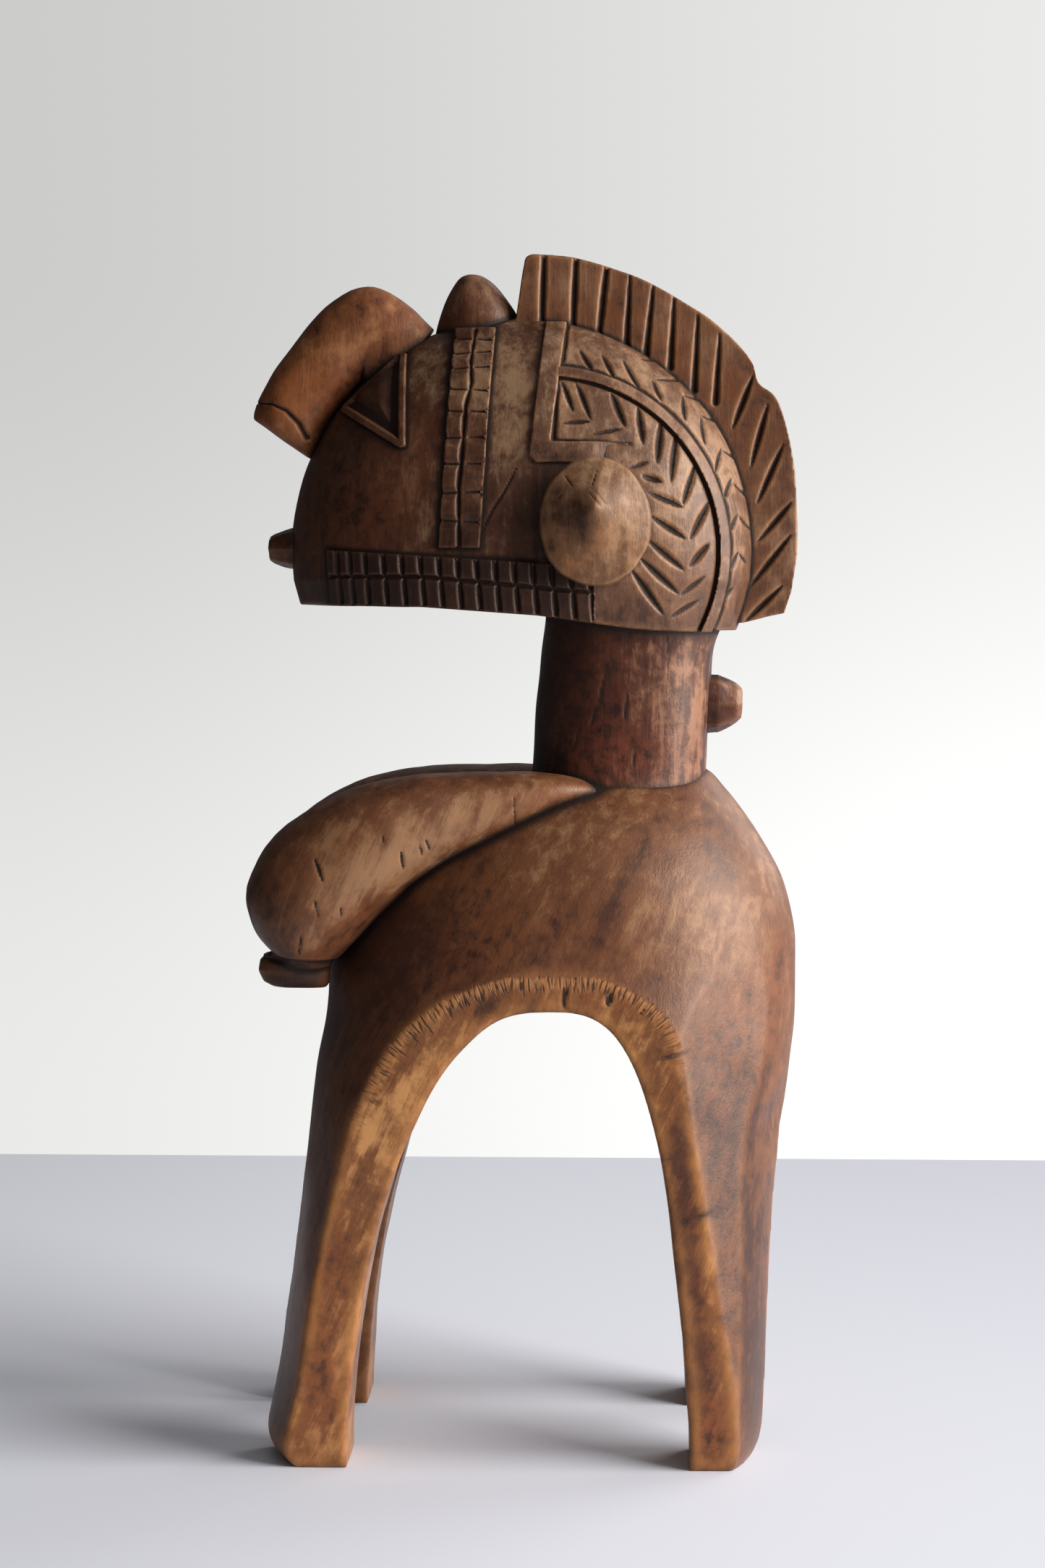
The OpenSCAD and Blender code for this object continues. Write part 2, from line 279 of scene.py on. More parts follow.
def nicks(*rows):
    """Short straight cuts: where each starts, where it ends, its width and its depth."""
    return [([(y0, z0), (y1, z1)], width, depth, "lens")
            for y0, z0, y1, z1, width, depth in rows]


def carve(piece, cuts, outside=0.0, facing=-1.0):
    """Makes cuts, drawn in the side view, in both flanks of a piece."""
    points, normals = points_of(piece), normals_of(piece)
    depth = stroke_depth(points[:, 1:], cuts)
    flank = (np.abs(points[:, 0]) > outside) & (normals[:, 0] * np.sign(points[:, 0]) > facing)
    place(piece, points - normals * (depth * flank)[:, None])


def roughen(piece, seed, *layers):
    """Uneven hand work: layers of bump length and height."""
    points, normals = points_of(piece), normals_of(piece)
    rise = sum(high * waves(points, seed + i, length) for i, (length, high) in enumerate(layers))
    place(piece, points + normals * rise[:, None])


def relief_of(piece, rounds):
    """How far each point stands above, or below, a smoothed copy of the surface."""
    mesh = piece.data
    pairs = np.empty(len(mesh.edges) * 2, np.int32)
    mesh.edges.foreach_get("vertices", pairs)
    a, b = pairs.reshape(-1, 2).T
    count = len(mesh.vertices)
    degree = np.bincount(a, minlength=count) + np.bincount(b, minlength=count)
    points = points_of(piece)
    soft = points.copy()
    for _ in range(rounds):
        soft = np.stack([
            (np.bincount(a, soft[b, k], count) + np.bincount(b, soft[a, k], count))
            for k in range(3)], 1) / np.maximum(degree, 1)[:, None]
    return ((points - soft) * normals_of(piece)).sum(1)


def store(piece, **fields):
    """Keeps the painter's masks with the mesh, one number to a point."""
    for name, values in fields.items():
        layer = piece.data.attributes.get(name) or piece.data.attributes.new(
            name, "FLOAT", "POINT")
        layer.data.foreach_set("value", np.asarray(values, np.float32))


def spot(points, y, z, half_y, half_z, turn=0.0, x=None, half_x=20.0):
    """A soft oval patch in the side view; x keeps it to that depth across the figure."""
    a = math.radians(turn)
    dy, dz = points[:, 1] - y, points[:, 2] - z
    u = (dy * math.cos(a) + dz * math.sin(a)) / half_y
    v = (dz * math.cos(a) - dy * math.sin(a)) / half_z
    fall = np.exp(-(u * u + v * v))
    if x is not None:
        fall = fall * np.exp(-(((points[:, 0] - x) / half_x) ** 2))
    return fall


def crease_beside(piece, others, reach):
    """1 where the piece meets another, falling to 0 at the reach."""
    points = points_of(piece)
    mask = np.zeros(len(points))
    for other in others:
        theirs = points_of(other)
        low, high = theirs.min(0) - reach, theirs.max(0) + reach
        tree = BVHTree.FromPolygons([v.co for v in other.data.vertices],
                                    [p.vertices for p in other.data.polygons])
        for i in np.nonzero(((points > low) & (points < high)).all(1))[0]:
            found = tree.find_nearest(Vector(points[i] * MM), reach * MM)
            if found[0] is not None:
                mask[i] = max(mask[i], 1 - found[3] / MM / reach)
    return mask


# ---------- body and legs ----------

BODY_W = 110.0
# How much the roughened flanks are drawn in, to keep the body to its full width.
DRAWN_IN = 0.992
ARCH_H, ARCH_W, ARCH_FALL, ARCH_N = 143.0, 107.0, 1.6, 2.7
ARCH_Y, ARCH_LEAN = 0.5, 6
GAP_W, GAP_H, GAP_N = 54.0, 108.0, 2.2
BELOW = -5
LEG_TOP = 100.0
BODY_ROWS = [
    [0, -80, 76, 82, 3, .02], [7, -81.5, 78, 82.5, 2.95, .02],
    [26, -77.6, 79.5, 81.8, 2.8, .035], [60, -73.3, 81, 79.9, 2.6, .084],
    [84, -70.4, 82.2, 75.5, 2.5, .11], [105, -68.2, 84.2, 71.2, 2.4, .12],
    [120, -66.5, 86.2, 66.6, 2.38, .102], [133, -64, 87.6, 63.6, 2.3, .09],
    [143, -62.8, 88, 60, 2.25, .055], [153, -61.8, 88, 55.6, 2.2, .02],
    [166, -57, 87.4, 52, 2.15, 0], [181, -47, 83.6, 48, 2.1, 0],
    [194, -31, 76.6, 41.5, 2.1, 0], [204, -15, 69.6, 33.5, 2.1, 0],
    [210, -6, 64.5, 26.5, 2.1, 0], [214.5, 2, 60.5, 19, 2.1, 0], [218, 10, 54, 10, 2.1, 0]]
CORNER_AT, CORNER_WAY = (55.0, 50.5, 130.0), (33.8, 26.0, 4.13)


def arch_outline():
    levels = ARCH_H * np.sin(np.radians(np.linspace(0, 90, 33)))
    half = ARCH_W / 2 * np.clip(1 - (levels / ARCH_H) ** ARCH_FALL, 0, 1) ** (1 / ARCH_N)
    middle = ARCH_Y + ARCH_LEAN * (levels / 120) ** 2.6
    front = [(m - h, z) for m, h, z in zip(middle, half, levels)]
    back = [(m + h, z) for m, h, z in zip(middle, half, levels)][-2::-1]
    return front + back + [(ARCH_W / 2 + ARCH_Y, BELOW), (-ARCH_W / 2 + ARCH_Y, BELOW)]


def gap_outline():
    levels = GAP_H * np.sin(np.radians(np.linspace(0, 90, 25)))
    half = GAP_W / 2 * np.clip(1 - (levels / GAP_H) ** GAP_N, 0, 1) ** (1 / GAP_N)
    right = [(-h, z) for h, z in zip(half, levels)]
    left = [(h, z) for h, z in zip(half, levels)][-2::-1]
    return right + left + [(GAP_W / 2, BELOW), (-GAP_W / 2, BELOW)]


def flat_edge():
    """The worn band's outer edge: up the front leg, over the crown and down the rear leg."""
    front, back = [], []
    for row in refined(BODY_ROWS, 4):
        hoop = level_ring(row, 288)
        hoop = hoop[hoop[:, 0] > 0]
        hoop = hoop[np.argsort(hoop[:, 1])]
        widest = hoop[:, 0].argmax()
        if hoop[widest, 0] > BODY_W / 2:
            front.append((np.interp(BODY_W / 2, hoop[:widest, 0], hoop[:widest, 1]), row[0]))
            far = np.interp(BODY_W / 2, hoop[:widest:-1, 0], hoop[:widest:-1, 1])
            corner = CORNER_AT[1] - (row[0] - CORNER_AT[2]) * CORNER_WAY[2] / CORNER_WAY[1]
            back.append((min(far, corner), row[0]))
    return np.array(front + back[::-1])


def beyond(yz, line):
    """How far each point lies outside the line (below 0 inside it), and how far along it."""
    off, share = near_line(yz, line)
    steps = np.append(0, np.cumsum(spans_of(line)))
    at = share * spans_of(line).sum()
    ahead = [np.interp(at + 0.5, steps, line[:, k]) - np.interp(at - 0.5, steps, line[:, k])
             for k in (0, 1)]
    here = [np.interp(at, steps, line[:, k]) for k in (0, 1)]
    side = ahead[0] * (yz[:, 1] - here[1]) - ahead[1] * (yz[:, 0] - here[0])
    return off * np.sign(side), at


body = loft("torso", [level_ring(row, 144) for row in refined(BODY_ROWS, 4)])
for side in (1, -1):
    shave(body, (side * BODY_W / 2, 0, 0), (side, 0, 0))
    # The flat that runs down the back corner of each rear leg.
    shave(body, (side * CORNER_AT[0], *CORNER_AT[1:]), (side * CORNER_WAY[0], *CORNER_WAY[1:]))
cut(body, side_prism("arch_cutter", arch_outline(), -FAR, FAR))
cut(body, loft("gap_cutter", [[(x, y, z) for x, z in gap_outline()] for y in (-FAR, FAR)]))
skin(body, BODY_SKIN, 3)
roughen(body, 11, (34, 0.28), (13, 0.12))
place(body, points_of(body) * (DRAWN_IN, 1, 1))

# A few deep chops along the crown of the band's outer edge, and the longer splits across it.
CROWN_Z, CHOP_STEP = 112, 3.4
rng = np.random.default_rng(5)
EDGE = flat_edge()
crown = EDGE[EDGE[:, 1] > CROWN_Z]
spans = np.append(0, np.cumsum(spans_of(crown)))
chops = []
for s in np.arange(4, spans[-1] - 4, CHOP_STEP):
    s = s + rng.uniform(-1.4, 1.4)
    y, z = (np.interp(s, spans, crown[:, k]) for k in (0, 1))
    up, down = rng.uniform(0.4, 1.6), rng.uniform(1.0, 3.6)
    lean = rng.uniform(-0.3, 0.3)
    chops.append(([(y - lean * up, z + up), (y + lean * down, z - down)],
                  rng.uniform(1.1, 1.6), rng.uniform(0.25, 0.55), "lens"))
splits = nicks((15.5, 154, 14.6, 143, 1.6, 0.8), (29.5, 150, 28, 145.5, 1.8, 1.0),
               (37, 142.5, 43, 145.5, 1.6, 0.5))
carve(body, chops + splits, outside=40, facing=0.1)


FOOT_H, FOOT_IN, TOE_IN, HEEL_IN = 9, 0.8, 3.8, 0.8
GOUGE_DEPTH = 1.9


def dress_body(piece):
    """Rounds the feet and cuts the gouge in the back."""
    points = points_of(piece)
    low = np.clip(1 - points[:, 2] / FOOT_H, 0, 1) ** 2
    x, y = points[:, 0].copy(), points[:, 1].copy()
    points[:, 0] -= np.sign(x) * FOOT_IN * low * smooth_step(np.abs(x), 44, 55)
    points[:, 1] += TOE_IN * low * smooth_step(-y, 58, 80)
    points[:, 1] -= HEEL_IN * low * smooth_step(y, 66, 78)
    gouge = spot(points, 84, 106, 20, 8, x=25, half_x=12) * smooth_step(points[:, 1], 60, 70)
    points -= np.array([0.2, 1, 0]) * (GOUGE_DEPTH * gouge)[:, None]
    points[:, 2] = np.maximum(points[:, 2], 0)
    place(piece, points)


dress_body(body)

# ---------- neck, lugs and breasts ----------

NECK_ROWS = [[200, 3, 59, 25, 2.4], [218, 3.6, 59.2, 24, 2.4], [240, 5, 60.5, 24, 2.4],
             [254, 6.4, 61.8, 24.4, 2.4], [264, 7.6, 65.5, 25.5, 2.3], [272, 7.6, 68, 26, 2.3]]
neck = skin(loft("neck", [level_ring(row) for row in refined(NECK_ROWS, 4)]), LIMB_SKIN, 2)
roughen(neck, 21, (22, 0.22), (9, 0.1))
carve(neck, nicks((24.5, 236, 27, 247, 1.0, 0.45), (22, 229, 24.2, 237, 0.9, 0.35),
                  (33, 231, 34, 241, 1.1, 0.5), (17, 222, 19, 231, 0.9, 0.3),
                  (46.5, 252, 46.8, 260, 0.8, 0.3), (41, 243, 41.6, 250, 0.8, 0.25),
                  (35.8, 216, 36.4, 223, 1.1, 0.35)), outside=8, facing=0.2)


def stub(name, rows, z, seed):
    """A short plug cut with a few flat strokes of the knife."""
    lug = loft(name, [ring((0, y, z), half_x, half_z, 2.6, 90, 8) for y, half_x, half_z in rows])
    skin(lug, SMALL_SKIN, 2)
    roughen(lug, seed, (7, 0.22), (3.5, 0.1))
    return lug


nape_lug = stub("nape_lug", [[52, 7, 10.4], [63, 7.4, 9.4], [69, 6, 6.2], [70.8, 4.6, 4.8]],
                236.5, 31)
mouth_lug = stub("mouth_lug", [[-66, 8, 7.2], [-74, 8, 6.6], [-80, 6.6, 4.9],
                               [-81.6, 5.2, 3.9]], 286.2, 33)

BREAST_X, BREAST_N, NIPPLE_N = 24.5, 2.15, 2.2
BREAST_ROWS = [
    [24, 209.6, 2, 0.8, 100], [19, 210, 5.6, 3.2, 100], [5.5, 208.8, 11, 7, 108],
    [-16.5, 203.4, 16, 12.6, 106], [-36.5, 197.5, 19.8, 16.8, 109], [-52.5, 188.6, 22, 20.4, 113],
    [-66.2, 177.2, 22.2, 21.4, 121], [-74, 166.5, 19.8, 17.9, 133],
    [-75.4, 159.9, 15, 12, 141], [-75, 157, 10, 8, 145]]
NIPPLE_ROWS = [[158, -82, -61, 8], [152.5, -83.2, -60.5, 8.4], [149, -81.6, -60.6, 7.6],
               [147.2, -78.2, -61.4, 5.8]]


def limb_ring(row, x, n, count=72):
    y, z, half_x, half_b, tilt = row
    return ring((x, y, z), half_x, half_b, n, tilt, count)


def breast(side):
    word = "left" if side > 0 else "right"
    shape = loft("breast_" + word,
                 [limb_ring(row, side * BREAST_X, BREAST_N) for row in refined(BREAST_ROWS, 4)])
    tip = loft("tip", [ring((side * BREAST_X, (f + b) / 2, z), half, (b - f) / 2, NIPPLE_N, 0, 40)
                       for z, f, b, half in NIPPLE_ROWS])
    cut(shape, tip, "UNION")
    skin(shape, LIMB_SKIN, 5)
    roughen(shape, 41, (24, 0.25), (9, 0.1), (4.5, 0.07))
    scars = nicks((-63.2, 190.5, -60.2, 182.3, 1.6, 0.8), (-36.3, 192.8, -35.5, 185.3, 1.5, 0.75),
                  (-30.4, 194.5, -29.8, 190, 1.2, 0.5), (-28.6, 196, -27.4, 191.6, 1.2, 0.45),
                  (-42, 198, -41.4, 194, 1.0, 0.35), (-63, 178, -61.8, 171, 1.1, 0.4),
                  (-55, 176, -54.8, 170, 1.0, 0.3), (-67, 167, -68.6, 158, 1.5, 0.5))
    scars += strokes(0.8, 0.35, "even", ((-1.5, 211), (-1, 199.5)))
    carve(shape, scars, outside=BREAST_X + 6, facing=0.15)
    # The crease over the nipple.
    carve(shape, strokes(3.2, 1.0, "even", ((-90, 158.2), (-76, 156.6), (-58, 155.6))))
    return shape


breasts = {side: breast(side) for side in (1, -1)}

# ---------- head ----------

HEAD_Z, HEAD_L, HEAD_W, DOME_H = 285.0, 148.0, 74.0, 75.0
JAW_ROWS = [[-33, .91], [-24, .935], [-17, .965], [-9, .992], [0, 1]]
SKULL_N, SKULL_FLARE = 2.35, 0.08
UNDERSIDE = [(-90, 268.6), (-30, 267.6), (6, 265), (34, 261.2), (56, 259.6), (90, 261)]
HAIRLINE_Y = 6.5
CREST_T, CREST_H, CREST_L, CREST_N, CREST_SWELL = 15.0, 95.0, 88.0, 2.1, 0.7


def helmet(name, grown, count=112, step=3.0):
    """The whole head as one helmet, grown outwards by this much, cut along its underside."""
    levels = [(HEAD_Z + depth, scale) for depth, scale in JAW_ROWS[:-1]]
    for a in np.radians(np.arange(0, 90, step)):
        levels.append((HEAD_Z + (DOME_H + grown) * math.sin(a), math.cos(a)))
    levels.append((HEAD_Z + DOME_H + grown, 0.02))
    shape = loft(name, [ring((0, 0, z), (HEAD_W / 2 + grown) * scale,
                             (HEAD_L / 2 + grown) * scale, SKULL_N, 0, count, SKULL_FLARE)
                        for z, scale in levels])
    cut(shape, side_prism("underside", UNDERSIDE + [(90, 200), (-90, 200)], -FAR, FAR))
    return shape


# Strokes of the coiffure. Fields run in arcs about this point, by reach and angle.
ARC = (8.0, 285.0)


def arc_point(reach, angle):
    a = math.radians(angle)
    return ARC[0] + reach * math.cos(a), ARC[1] + reach * math.sin(a)


# Inside the ridge: deep gouges down from the ridge, answered by gouges out from the ear.
hair = strokes(2.9, 1.6, "lens",
    ((28.5, 335), (33.3, 323.4)), ((37, 330.4), (38.8, 318)), ((44.5, 326.6), (43, 312)),
    ((49.4, 323), (47.4, 306.2)), ((55.4, 312.8), (51, 298.8)), ((59.7, 300.8), (53.4, 288.5)),
    ((59.6, 287.6), (53.2, 280)), ((38, 308.7), (45, 306.5)), ((40, 303.4), (51.6, 298.6)),
    ((41, 296), (52.2, 288.8)), ((40, 288.6), (51.7, 279)), ((37.6, 283), (50, 271.6)),
    ((35, 279.4), (45.3, 265)))
hair += strokes(2.0, 1.0, "lens",
    ((58.5, 277.4), (50.2, 271)), ((56.5, 270), (46.8, 264)), ((34, 310.7), (41, 313.1)),
    ((22.6, 321.4), (32.5, 323.2)), ((12.9, 324.9), (22.4, 325.4)))
# Down the corner panel beside the border.
hair += strokes(2.2, 1.2, "lens", ((13.2, 338.2), (17, 328.2)), ((17.6, 337.9), (22.6, 325.4)))
hair += strokes(2.4, 1.5, "wedge", ((12.4, 337), (11.4, 331), (10.8, 320.4)))
hair += strokes(1.5, 0.9, "even",
    ((9.9, 319.8), (21.2, 318.6), (35, 318.4)), ((14.8, 356.5), (13.6, 344.5)))
# Outside the ridge: a row of chevrons, with one heavy arm and one light.
hair += strokes(2.2, 1.25, "lens",
    ((18.4, 348.8), (23.3, 340.8)), ((25.5, 347.2), (30.4, 338.2)), ((32.1, 345.7), (38, 335.2)),
    ((41.4, 339.3), (45, 331.6)), ((51.3, 334.8), (52, 326)), ((57.1, 328), (58.4, 318.2)),
    ((63.6, 318), (61.5, 309.2)), ((67, 308.6), (64.2, 301)), ((69.1, 297.2), (65.5, 289.8)),
    ((69.3, 285.4), (66, 278)), ((67.4, 273.9), (62.5, 267.5)))
hair += strokes(1.4, 0.75, "lens",
    ((37.6, 345.9), (44, 345.9)), ((42.2, 339.2), (52.8, 339.6)), ((51, 334.5), (61.5, 332.4)),
    ((56.3, 328), (67.2, 325.5)), ((63, 317.6), (73.4, 312)), ((66.7, 307.2), (73.4, 301.4)),
    ((68.8, 296.6), (73.2, 291.8)), ((68.9, 285.1), (71.8, 281)))
# The split in the cheek, and the grooves beside the ridge.
hair += strokes(0.9, 0.8, "lens", ((0.5, 313.4), (-4, 304), (-8, 298), (-12, 289.5)))
for reach, width, depth in ((54.3, 1.4, 0.7), (58.8, 1.9, 1.1)):
    hair.append(([arc_point(reach, a) for a in range(86, -32, -4)], width, depth, "even"))

# Face and coiffure are carved as one, and parted at the hairline.
face = skin(helmet("face", 0.0), HEAD_SKIN, 2)
roughen(face, 51, (26, 0.2), (9, 0.07))
carve(face, hair, outside=CREST_T / 2 - 1, facing=0.02)
coiffure = copy_of(face, "coiffure")
shave(face, (0, HAIRLINE_Y, 0), (0, 1, 0))
shave(coiffure, (0, HAIRLINE_Y, 0), (0, -1, 0))


def crest_outline():
    rim = []
    for a in np.radians(np.arange(0, 85, 2)):
        power = 2 / (CREST_N + CREST_SWELL * math.cos(a) ** 4)
        rim.append((CREST_L * signed_pow(math.cos(a), power),
                    HEAD_Z + CREST_H * signed_pow(math.sin(a), power)))
    return rim + [(1.2, HEAD_Z + CREST_H), (-3.5, 350), (30, HEAD_Z), (56, 261.8),
                  (71, 263), (CREST_L - 4, 266), (CREST_L - 1.6, 273)]


crest = side_prism("crest", crest_outline(), -CREST_T / 2, CREST_T / 2)
cut(crest, helmet("core", -1.5))
skin(crest, CREST_SKIN, 3)
roughen(crest, 61, (18, 0.2), (6, 0.08))


NICK_DEPTH, TIP_WORN, RIM_WORN = 2.6, 1.6, 0.5


def wear_crest(piece):
    """Rounds the blunt front's top, and takes the nick out of the rim behind."""
    points = points_of(piece)
    nick = spot(points, 78, 341, 4.5, 4.5)
    points[:, 1:] -= np.array([0.8, 0.6]) * (NICK_DEPTH * nick)[:, None]
    front = np.clip(1 - (points[:, 1] - 0.5) / 4, 0, 1) ** 2 * smooth_step(points[:, 2], 374, 380)
    points[:, 2] -= RIM_WORN + TIP_WORN * front
    place(piece, points)


wear_crest(crest)
teeth = [((7.1, 380.5), (6.4, 359)), ((17.3, 380), (16.3, 357.6)), ((27.2, 377.5), (24.7, 355.3)),
         ((34.4, 374), (33.4, 352.5)), ((42, 372), (39.8, 350)), ((48.5, 367.5), (47.4, 345.7)),
         ((56, 361), (55, 338.5)), ((63, 355), (61.8, 334.6)), ((73.7, 341.3), (67.7, 325.7)),
         ((78.5, 332.5), (73.3, 313.3)), ((83.5, 319.7), (75.7, 302)),
         ((86.5, 301.4), (76.5, 289.6)), ((86.3, 291), (74.1, 275.5)),
         ((83.4, 274.4), (72.5, 263.9))]
TOOTH_DEPTH, TOOTH_ROOT = 1.9, 2.2
for k, (a, b) in enumerate(np.array(teeth)):
    how, width = ("even", 2.5) if k < 3 else ("wedge", 2.5) if k < 8 else ("lens", 2.2)
    root = b + (b - a) / np.linalg.norm(b - a) * TOOTH_ROOT
    carve(crest, [([a, root], width, TOOTH_DEPTH, how)], outside=4, facing=0.3)

KNOB_ROWS = [[348, -29, 2, 10], [357, -27.5, -0.4, 9.5], [364, -25.3, -3.6, 8.6],
             [370, -21.8, -8, 6.6], [372.6, -19.6, -11.2, 4.4], [373.7, -17, -13.4, 2.2]]
KNOB_N = 2.1
knob = skin(loft("forehead_knob", [level_ring([*row, KNOB_N], 64)
                                   for row in refined(KNOB_ROWS, 4)]), SMALL_SKIN, 3)
roughen(knob, 71, (12, 0.2), (5, 0.08))

NOSE_N = 2.3
NOSE_ROWS = [[-36, 345, 8, 13.8, 55], [-46.3, 353.6, 9, 15, 74], [-51, 355.4, 9.4, 14.8, 94],
             [-57, 351.8, 9.6, 13, 118], [-63, 345, 10, 12.4, 135],
             [-69, 337.6, 10.4, 12.5, 143], [-73.6, 329.2, 10.9, 12.5, 146],
             [-75.8, 323.1, 10.9, 12.5, 145], [-77.2, 321.3, 8.9, 11.2, 145]]
nose = loft("nose", [limb_ring(row, 0, NOSE_N) for row in refined(NOSE_ROWS, 4)])
skin(nose, SMALL_SKIN, 4)
roughen(nose, 73, (16, 0.25), (6, 0.08))
# The groove round the nose's end, which leaves a wedge of a lip below it.
carve(nose, strokes(2.6, 1.5, "stab", ((-87.5, 333), (-84.3, 332.6), (-79.7, 332.1),
                                       (-75.1, 330), (-71, 326), (-68.3, 321.6))))


# ---------- relief on the head ----------

SUNK = 1.3


def relief(name, side, high, outline, start, soften=2):
    """A raised member over an outline in the side view, sunk a little into the head."""
    band = helmet(name, high)
    x0, x1 = (start, FAR) if side > 0 else (-FAR, -start)
    cut(band, side_prism("outline", outline, x0, x1), "INTERSECT")
    cut(band, helmet("core", -SUNK, 96, 5))
    return skin(band, BAND_SKIN, soften)


CHEEK_Z, CHEEK_Y, CHEEK_W = (286, 356), (-25, -21), 13.0
JAW_Y, JAW_Z = (-61, 24), (285.5, 280.3)
JAW_FIRST, JAW_GAPS = -57.8, [0, 4.2, 4.9] + [5.9] * 14
BAND_T, STRIP_T, LID_T, STRIP_FALL = 1.8, 1.4, 1.8, 1.7
BORDER_W, BORDER_CORNER, BORDER_TOP, BORDER_END = 6.6, (3.2, 312.5), (7.8, 358), 34
LID_CORNER, LID_TOP, LID_FRONT, LID_W = (-36.8, 318.3), (-37.6, 348), (-56.5, 330.5), 2.5
BRAID_R, BRAID_W = 56.5, 3.2

cheek_outline = [(CHEEK_Y[0], CHEEK_Z[0]), (CHEEK_Y[0] + CHEEK_W, CHEEK_Z[0]),
                 (CHEEK_Y[1] + CHEEK_W, CHEEK_Z[1]), (CHEEK_Y[1], CHEEK_Z[1])]
cheek_cuts = [([(-14.4, 356), (-15.6, 345), (-15.2, 338), (-17, 330), (-17.6, 318),
                (-18.8, 305), (-18.6, 285)], 2.2, 1.5, "even")]
for z in (352.5, 348, 343, 335.8, 328.9, 320.6, 312.3, 303.3, 294.3):
    lean = rng.uniform(-0.5, 0.5)
    edge = np.interp(z, CHEEK_Z, CHEEK_Y)
    for width, depth in ((2.1, 1.3), (5.0, 0.8)):
        cheek_cuts.append(([(edge - 1, z + lean), (edge + 5.6, z)], width, depth, "even"))
        cheek_cuts.append(([(edge + 7.4, z), (edge + CHEEK_W + 1, z - lean)], width, depth,
                           "even"))

jaw_outline = [(JAW_Y[0], JAW_Z[0]), (JAW_Y[1], JAW_Z[1]), (JAW_Y[1], 200), (JAW_Y[0] + 5, 200)]
jaw_cuts = [([(-63, 277.2), (-30, 277), (24, 272)], 1.9, 1.5, "even")]
y = JAW_FIRST
for gap in JAW_GAPS:
    y += gap
    if y < 23:
        split = 277.2 if y < -30 else 277 - (y + 30) * 5 / 54
        low = np.interp(y, [p[0] for p in UNDERSIDE], [p[1] for p in UNDERSIDE])
        jaw_cuts.append(([(y, np.interp(y, JAW_Y, JAW_Z) + 1), (y + 0.4, split)],
                         2.4, 1.5, "even"))
        jaw_cuts.append(([(y + 0.8, split), (y + 1.6, low - 1)], 2.3, 1.5, "even"))


def eyelids(side, word):
    half = LID_W / 2
    outline = [(LID_TOP[0] - half, LID_TOP[1]), (LID_TOP[0] + half, LID_TOP[1]),
               (LID_CORNER[0] + half, LID_CORNER[1] - 0.6),
               (LID_CORNER[0] - 0.6, LID_CORNER[1] - 1),
               (LID_FRONT[0] - 0.8, LID_FRONT[1] - 0.8), (LID_FRONT[0] - 0.4, LID_FRONT[1] + 0.8)]
    lids = relief("eye_" + word, side, LID_T, outline, 8, soften=4)
    points, normals = points_of(lids), normals_of(lids)
    upright, _ = near_line(points[:, 1:], [LID_CORNER, LID_TOP])
    lower, _ = near_line(points[:, 1:], [LID_CORNER, LID_FRONT])
    inside = np.minimum(upright - half, lower - half)
    sunk = smooth_step(inside, -0.5, 1.0) * (2.1 - 1.6 * smooth_step(inside, 1.4, 6.5))
    outer = normals[:, 0] * side > 0.2
    place(lids, points - normals * (sunk * outer)[:, None])
    return lids


def border_outline():
    (cy, cz), (ty, tz) = BORDER_CORNER, BORDER_TOP
    return [(ty, tz), (ty + BORDER_W, tz), (cy + BORDER_W, cz + BORDER_W),
            (BORDER_END, cz + BORDER_W), (BORDER_END, cz), (cy + 2.2, cz), (cy, cz + 2.2)]


def braid_outline():
    start = BORDER_TOP[0] + BORDER_W - 3.4
    angles = [a for a in np.arange(-28, 91, 3) if ARC[0] + BRAID_R * math.cos(math.radians(a))
              > start]
    outer = [arc_point(BRAID_R + BRAID_W / 2, a) for a in angles]
    inner = [arc_point(BRAID_R - BRAID_W / 2, a) for a in angles[::-1]]
    return outer + inner


EAR_C, EAR_HALF, EAR_RISE, EAR_REACH = (24.0, 294.0), (17.3, 20.2), 4.0, 54.0
EAR_ROWS = [[24, .8, 0], [36, .86, 0], [41, .97, 0], [43, 1, 0], [45, .97, 0],
            [47.4, .7, .25], [50, .42, .6], [51.9, .2, .85], [52.8, .08, .95], [53.1, .02, 1]]


def ear(side, word):
    hoops = []
    for reach, scale, rise in EAR_ROWS:
        a = np.radians(np.arange(72) * 5.0)
        hoops.append(np.stack([np.full(72, side * reach),
                               EAR_C[0] + EAR_HALF[0] * scale * np.cos(a),
                               EAR_C[1] + EAR_RISE * rise + EAR_HALF[1] * scale * np.sin(a)], 1))
    lobe = loft("ear_" + word, hoops)
    skin(lobe, SMALL_SKIN, 3)
    roughen(lobe, 81, (11, 0.25), (4, 0.08))
    points, normals = points_of(lobe), normals_of(lobe)
    outer = smooth_step(normals[:, 0] * side, 0.3, 0.7)
    ridge, t = near_line(points[:, 1:], [(24, 298.5), (25.2, 306), (27.4, 315)])
    points[:, 0] += side * outer * 0.8 * np.sin(math.pi * np.clip(t, 0.1, 1)) * np.clip(
        1 - ridge / 3.2, 0, 1)
    hollow = spot(points, 17, 292, 4, 8, 20) + 0.6 * spot(points, 31, 290, 4, 7, -15)
    points[:, 0] -= side * outer * 1.0 * hollow
    limit = EAR_REACH - 0.05
    points[:, 0] = np.clip(points[:, 0], -limit, limit)
    place(lobe, points)
    carve(lobe, nicks((21.5, 303.5, 26.5, 297.6, 0.9, 0.3), (22.5, 305, 27.6, 298.8, 0.8, 0.25),
                      (14, 309, 17.5, 304, 0.9, 0.3), (25, 311, 22.4, 303, 0.9, 0.3),
                      (12, 300, 15, 304, 0.8, 0.2)), outside=40, facing=0.3)
    return lobe


